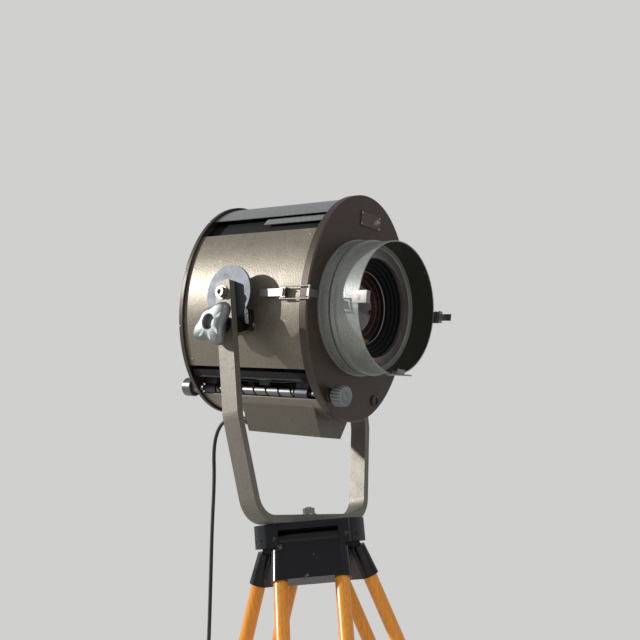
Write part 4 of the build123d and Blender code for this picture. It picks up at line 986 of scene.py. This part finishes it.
@dataclass
class Screws:
    """Round screw heads along the panels, the front plate and the lens mount.

    Args:
        paint: Where their finish comes from.
        head_radius: Radius of a head in metres.
        head_height: Height of a head in metres.
        mount_radius: Radius of the circle of screws on the lens mount, mm.
        mount_degrees: Where they stand on it.
        label_x: Places across of the label plate's screws, mm.
        label_v: Their heights, mm.
        plate_degrees: Where the rear plate's screws stand round the oval.
        panel_degrees: Where each panel end's screws stand round the oval.
        panel_ends: Distances forward of the panels' screws, mm.
    """

    paint: Paintbox
    head_radius: float = 0.0021
    head_height: float = 0.0011
    mount_radius: float = 107.5
    mount_degrees: tuple = (45, 135, 225, 315)
    label_x: tuple = (-17.5, 30.5)
    label_v: tuple = (136.5, 154.5)
    plate_degrees: tuple = (15, 50, 130, 165, 195, 235, 305, 345)
    panel_degrees: tuple = (146, 214, 34, -34)
    panel_ends: tuple = (-118, 118)

    def _rim(self, u: float, inset: float, degrees_at: Sequence[float]) -> list:
        """Return spots on the oval rim, facing outwards.

        A spot is at x = (A - i) cos a, v = (B - i) sin a, and faces (cos a / A, sin a / B).

        Args:
            u: Distance forward, mm.
            inset: How far inside the oval they lie, mm.
            degrees_at: Parameters of the ellipse, degrees.

        Returns:
            Pairs of a point and an outward direction, in the row frame.
        """
        spots = []
        for angle in degrees_at:
            a = radians(angle)
            x, v = (HALF_WIDTH - inset) * cos(a), (HALF_HEIGHT - inset) * sin(a)
            out = lamp(cos(a) / HALF_WIDTH, 0, sin(a) / HALF_HEIGHT) - lamp(0, 0, 0)
            spots.append((lamp(x, u, v), out))
        return spots

    def build(self) -> None:
        """Make the two sets of heads, one for each body that carries them."""
        forward = lamp(0, 1, 0) - lamp(0, 0, 0)
        turns = [radians(angle) for angle in self.mount_degrees]
        door = [(lamp(self.mount_radius * cos(a), FRONT_U + MOUNT_FLANGE, self.mount_radius * sin(a)),
                 forward) for a in turns]
        door += [(lamp(x, FRONT_U + LABEL_SHEET, v), forward) for x in self.label_x
                 for v in self.label_v]
        house = self._rim(REAR_U + REAR_EDGE, 0.0, self.plate_degrees)
        for u in self.panel_ends:
            house += self._rim(u, PANEL_INSET, self.panel_degrees)
        for name, spots, body in (("door_screws", door, "front_door"),
                                  ("house_screws", house, "lamp_house")):
            obj = dome_field(name, spots, self.head_radius, self.head_height)
            self.paint.paint(obj, "bright")
            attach(obj, body)


@dataclass(frozen=True)
class Lead:
    """One lead inside the drum.

    Args:
        name: Name of the piece.
        finish: Its key in FINISHES.
        x: Mean place across, mm.
        v: Mean height, mm.
        phase: Phase of its waves, radians.
        ends: Distances forward of its rear and front ends, mm.
    """

    name: str
    finish: str
    x: float
    v: float
    phase: float
    ends: tuple


@dataclass
class InsideLeads:
    """Lamp leads that lie in the open channel under the inner floor.

    Args:
        paint: Where their finishes come from.
        radius: Radius of a lead in metres.
        leads: A black pair and the earth lead.
    """

    paint: Paintbox
    radius: float = 0.0014
    leads: tuple = (
        Lead("lead_black_1", "rubber", -76.0, -127.5, 0.0, (-60, 128)),
        Lead("lead_black_2", "rubber", -70.0, -128.0, 1.7, (-70, 126)),
        Lead("lead_earth", "green", -84.0, -124.6, 0.8, (-50, 40)),
    )

    def build(self) -> None:
        """Make each lead as two gentle waves, x = x0 + a sin(k u + p) and v = v0 - b sin(m u + p)."""
        for lead in self.leads:
            u = np.linspace(*lead.ends, 70)
            centres = lamp_grid(lead.x + 3.2 * np.sin(0.045 * u + lead.phase), u,
                                lead.v - 3.0 * np.sin(0.031 * u + lead.phase))
            obj = tube(lead.name, centres, self.radius)
            self.paint.paint(obj, lead.finish)
            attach(obj, "lamp_house")


@dataclass
class CadPieces:
    """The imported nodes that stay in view.

    Args:
        paint: Where their finishes come from.
        nodes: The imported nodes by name.
    """

    paint: Paintbox
    nodes: dict

    def build(self) -> None:
        """Give each node in view its finish; its own smooth normals stay."""
        for name, obj in self.nodes.items():
            if obj.hide_render:
                continue
            key = NODE_FINISH.get(name) or LEG_FINISH[name.split("_leg_")[1]]
            self.paint.paint(obj, key)
            log.info("finished %s as %s", name, key)


# ------------------------------------------------------------------ studio
@dataclass(frozen=True)
class Sun:
    """One distant light.

    Args:
        name: Name of the light.
        towards: Direction that it shines from.
        power: Strength.
        spread: Apparent size in degrees; a larger one gives softer shadows.
    """

    name: str
    towards: tuple
    power: float
    spread: float

    def build(self) -> None:
        """Make the light and turn it."""
        data = bpy.data.lights.new(self.name, "SUN")
        data.energy = self.power
        data.angle = radians(self.spread)
        obj = bpy.data.objects.new(self.name, data)
        obj.rotation_mode = "QUATERNION"
        obj.rotation_quaternion = Vector(self.towards).to_track_quat("Z", "Y")
        bpy.context.scene.collection.objects.link(obj)


@dataclass
class Studio:
    """Camera, lights and floor.

    Args:
        stands_at: Camera's place about the tilt axis, mm.
        azimuth: Direction the camera looks, degrees left of +Y.
        pitch: Degrees above level.
        roll: Degrees of roll.
        focal_length: Of the camera, mm.
        sensor: Width of its sensor, mm.
        suns: A crisp key from the left and behind, and a broad fill from the front.
        backdrop: Colour and strength of the pale world behind the lamp.
        ambient: Colour and strength of the light that it gives.
        floor_half: Half the width of the floor, m.
    """

    stands_at: tuple = (-1229.74, -997.64, -434.08)
    azimuth: float = -52.59
    pitch: float = 14.54
    roll: float = -4.99
    focal_length: float = 53.82
    sensor: float = 36.0
    suns: tuple = (Sun("key", (-0.52, 0.74, 0.42), 3.4, 1.5),
                   Sun("fill", (-0.35, -0.9, 0.35), 0.45, 40.0))
    backdrop: tuple = ((0.84, 0.84, 0.83), 0.75)
    ambient: tuple = ((0.90, 0.92, 1.0), 0.42)
    floor_half: float = 6.0

    def camera(self) -> None:
        """Place the camera low, to the lamp's front left, and turn it up at the lamp."""
        az, pt, ro = radians(self.azimuth), radians(self.pitch), radians(self.roll)
        look = Vector((-sin(az) * cos(pt), cos(az) * cos(pt), sin(pt)))
        across = Vector((cos(az), sin(az), 0))
        above = across.cross(look)
        right = across * cos(ro) + above * sin(ro)
        top = -across * sin(ro) + above * cos(ro)
        data = bpy.data.cameras.new("camera")
        data.lens = self.focal_length
        data.sensor_width = self.sensor
        data.clip_start = 0.05
        data.dof.use_dof = False
        obj = bpy.data.objects.new("camera", data)
        turn = Matrix((right, top, -look)).transposed().to_4x4()
        obj.matrix_world = Matrix.Translation(row(self.stands_at)) @ turn
        bpy.context.scene.collection.objects.link(obj)
        bpy.context.scene.camera = obj
        log.info("camera placed")

    def lights(self) -> None:
        """Make the suns, and a world that looks paler than the light that it gives."""
        for sun in self.suns:
            sun.build()
        world = bpy.data.worlds.new("studio")
        world.use_nodes = True
        nodes, links = world.node_tree.nodes, world.node_tree.links
        choose = nodes.new("ShaderNodeMixShader")
        ray = nodes.new("ShaderNodeLightPath")
        links.new(ray.outputs["Is Camera Ray"], choose.inputs[0])
        shown, dim = nodes["Background"], nodes.new("ShaderNodeBackground")
        for node, (colour, strength), place in ((dim, self.ambient, 1), (shown, self.backdrop, 2)):
            node.inputs["Color"].default_value = (*colour, 1.0)
            node.inputs["Strength"].default_value = strength
            links.new(node.outputs[0], choose.inputs[place])
        links.new(choose.outputs[0], nodes["World Output"].inputs["Surface"])
        bpy.context.scene.view_settings.view_transform = "Standard"
        bpy.context.scene.world = world

    def floor(self) -> None:
        """Lay a plain pale floor under the feet."""
        mesh = bpy.data.meshes.new("floor")
        half = self.floor_half
        corners = [(-half, -half, 0), (half, -half, 0), (half, half, 0), (-half, half, 0)]
        mesh.from_pydata(corners, [], [(0, 1, 2, 3)])
        obj = bpy.data.objects.new("floor", mesh)
        bpy.context.scene.collection.objects.link(obj)
        mat = bpy.data.materials.new("floor")
        mat.use_nodes = True
        bsdf = mat.node_tree.nodes["Principled BSDF"]
        bsdf.inputs["Base Color"].default_value = (0.72, 0.71, 0.69, 1.0)
        bsdf.inputs["Roughness"].default_value = 0.9
        mesh.materials.append(mat)


# ------------------------------------------------------------------ the whole scene
def main() -> None:
    """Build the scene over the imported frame."""
    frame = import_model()
    studio = Studio()
    studio.camera()
    paint = Paintbox()
    for assembly in (MainsLead, FocusKnob, HoodLining, Optics, StarKnob, Strips, Screws, InsideLeads):
        assembly(paint).build()
    CadPieces(paint, frame["nodes"]).build()
    studio.lights()
    studio.floor()


if __name__ == "__main__":
    main()
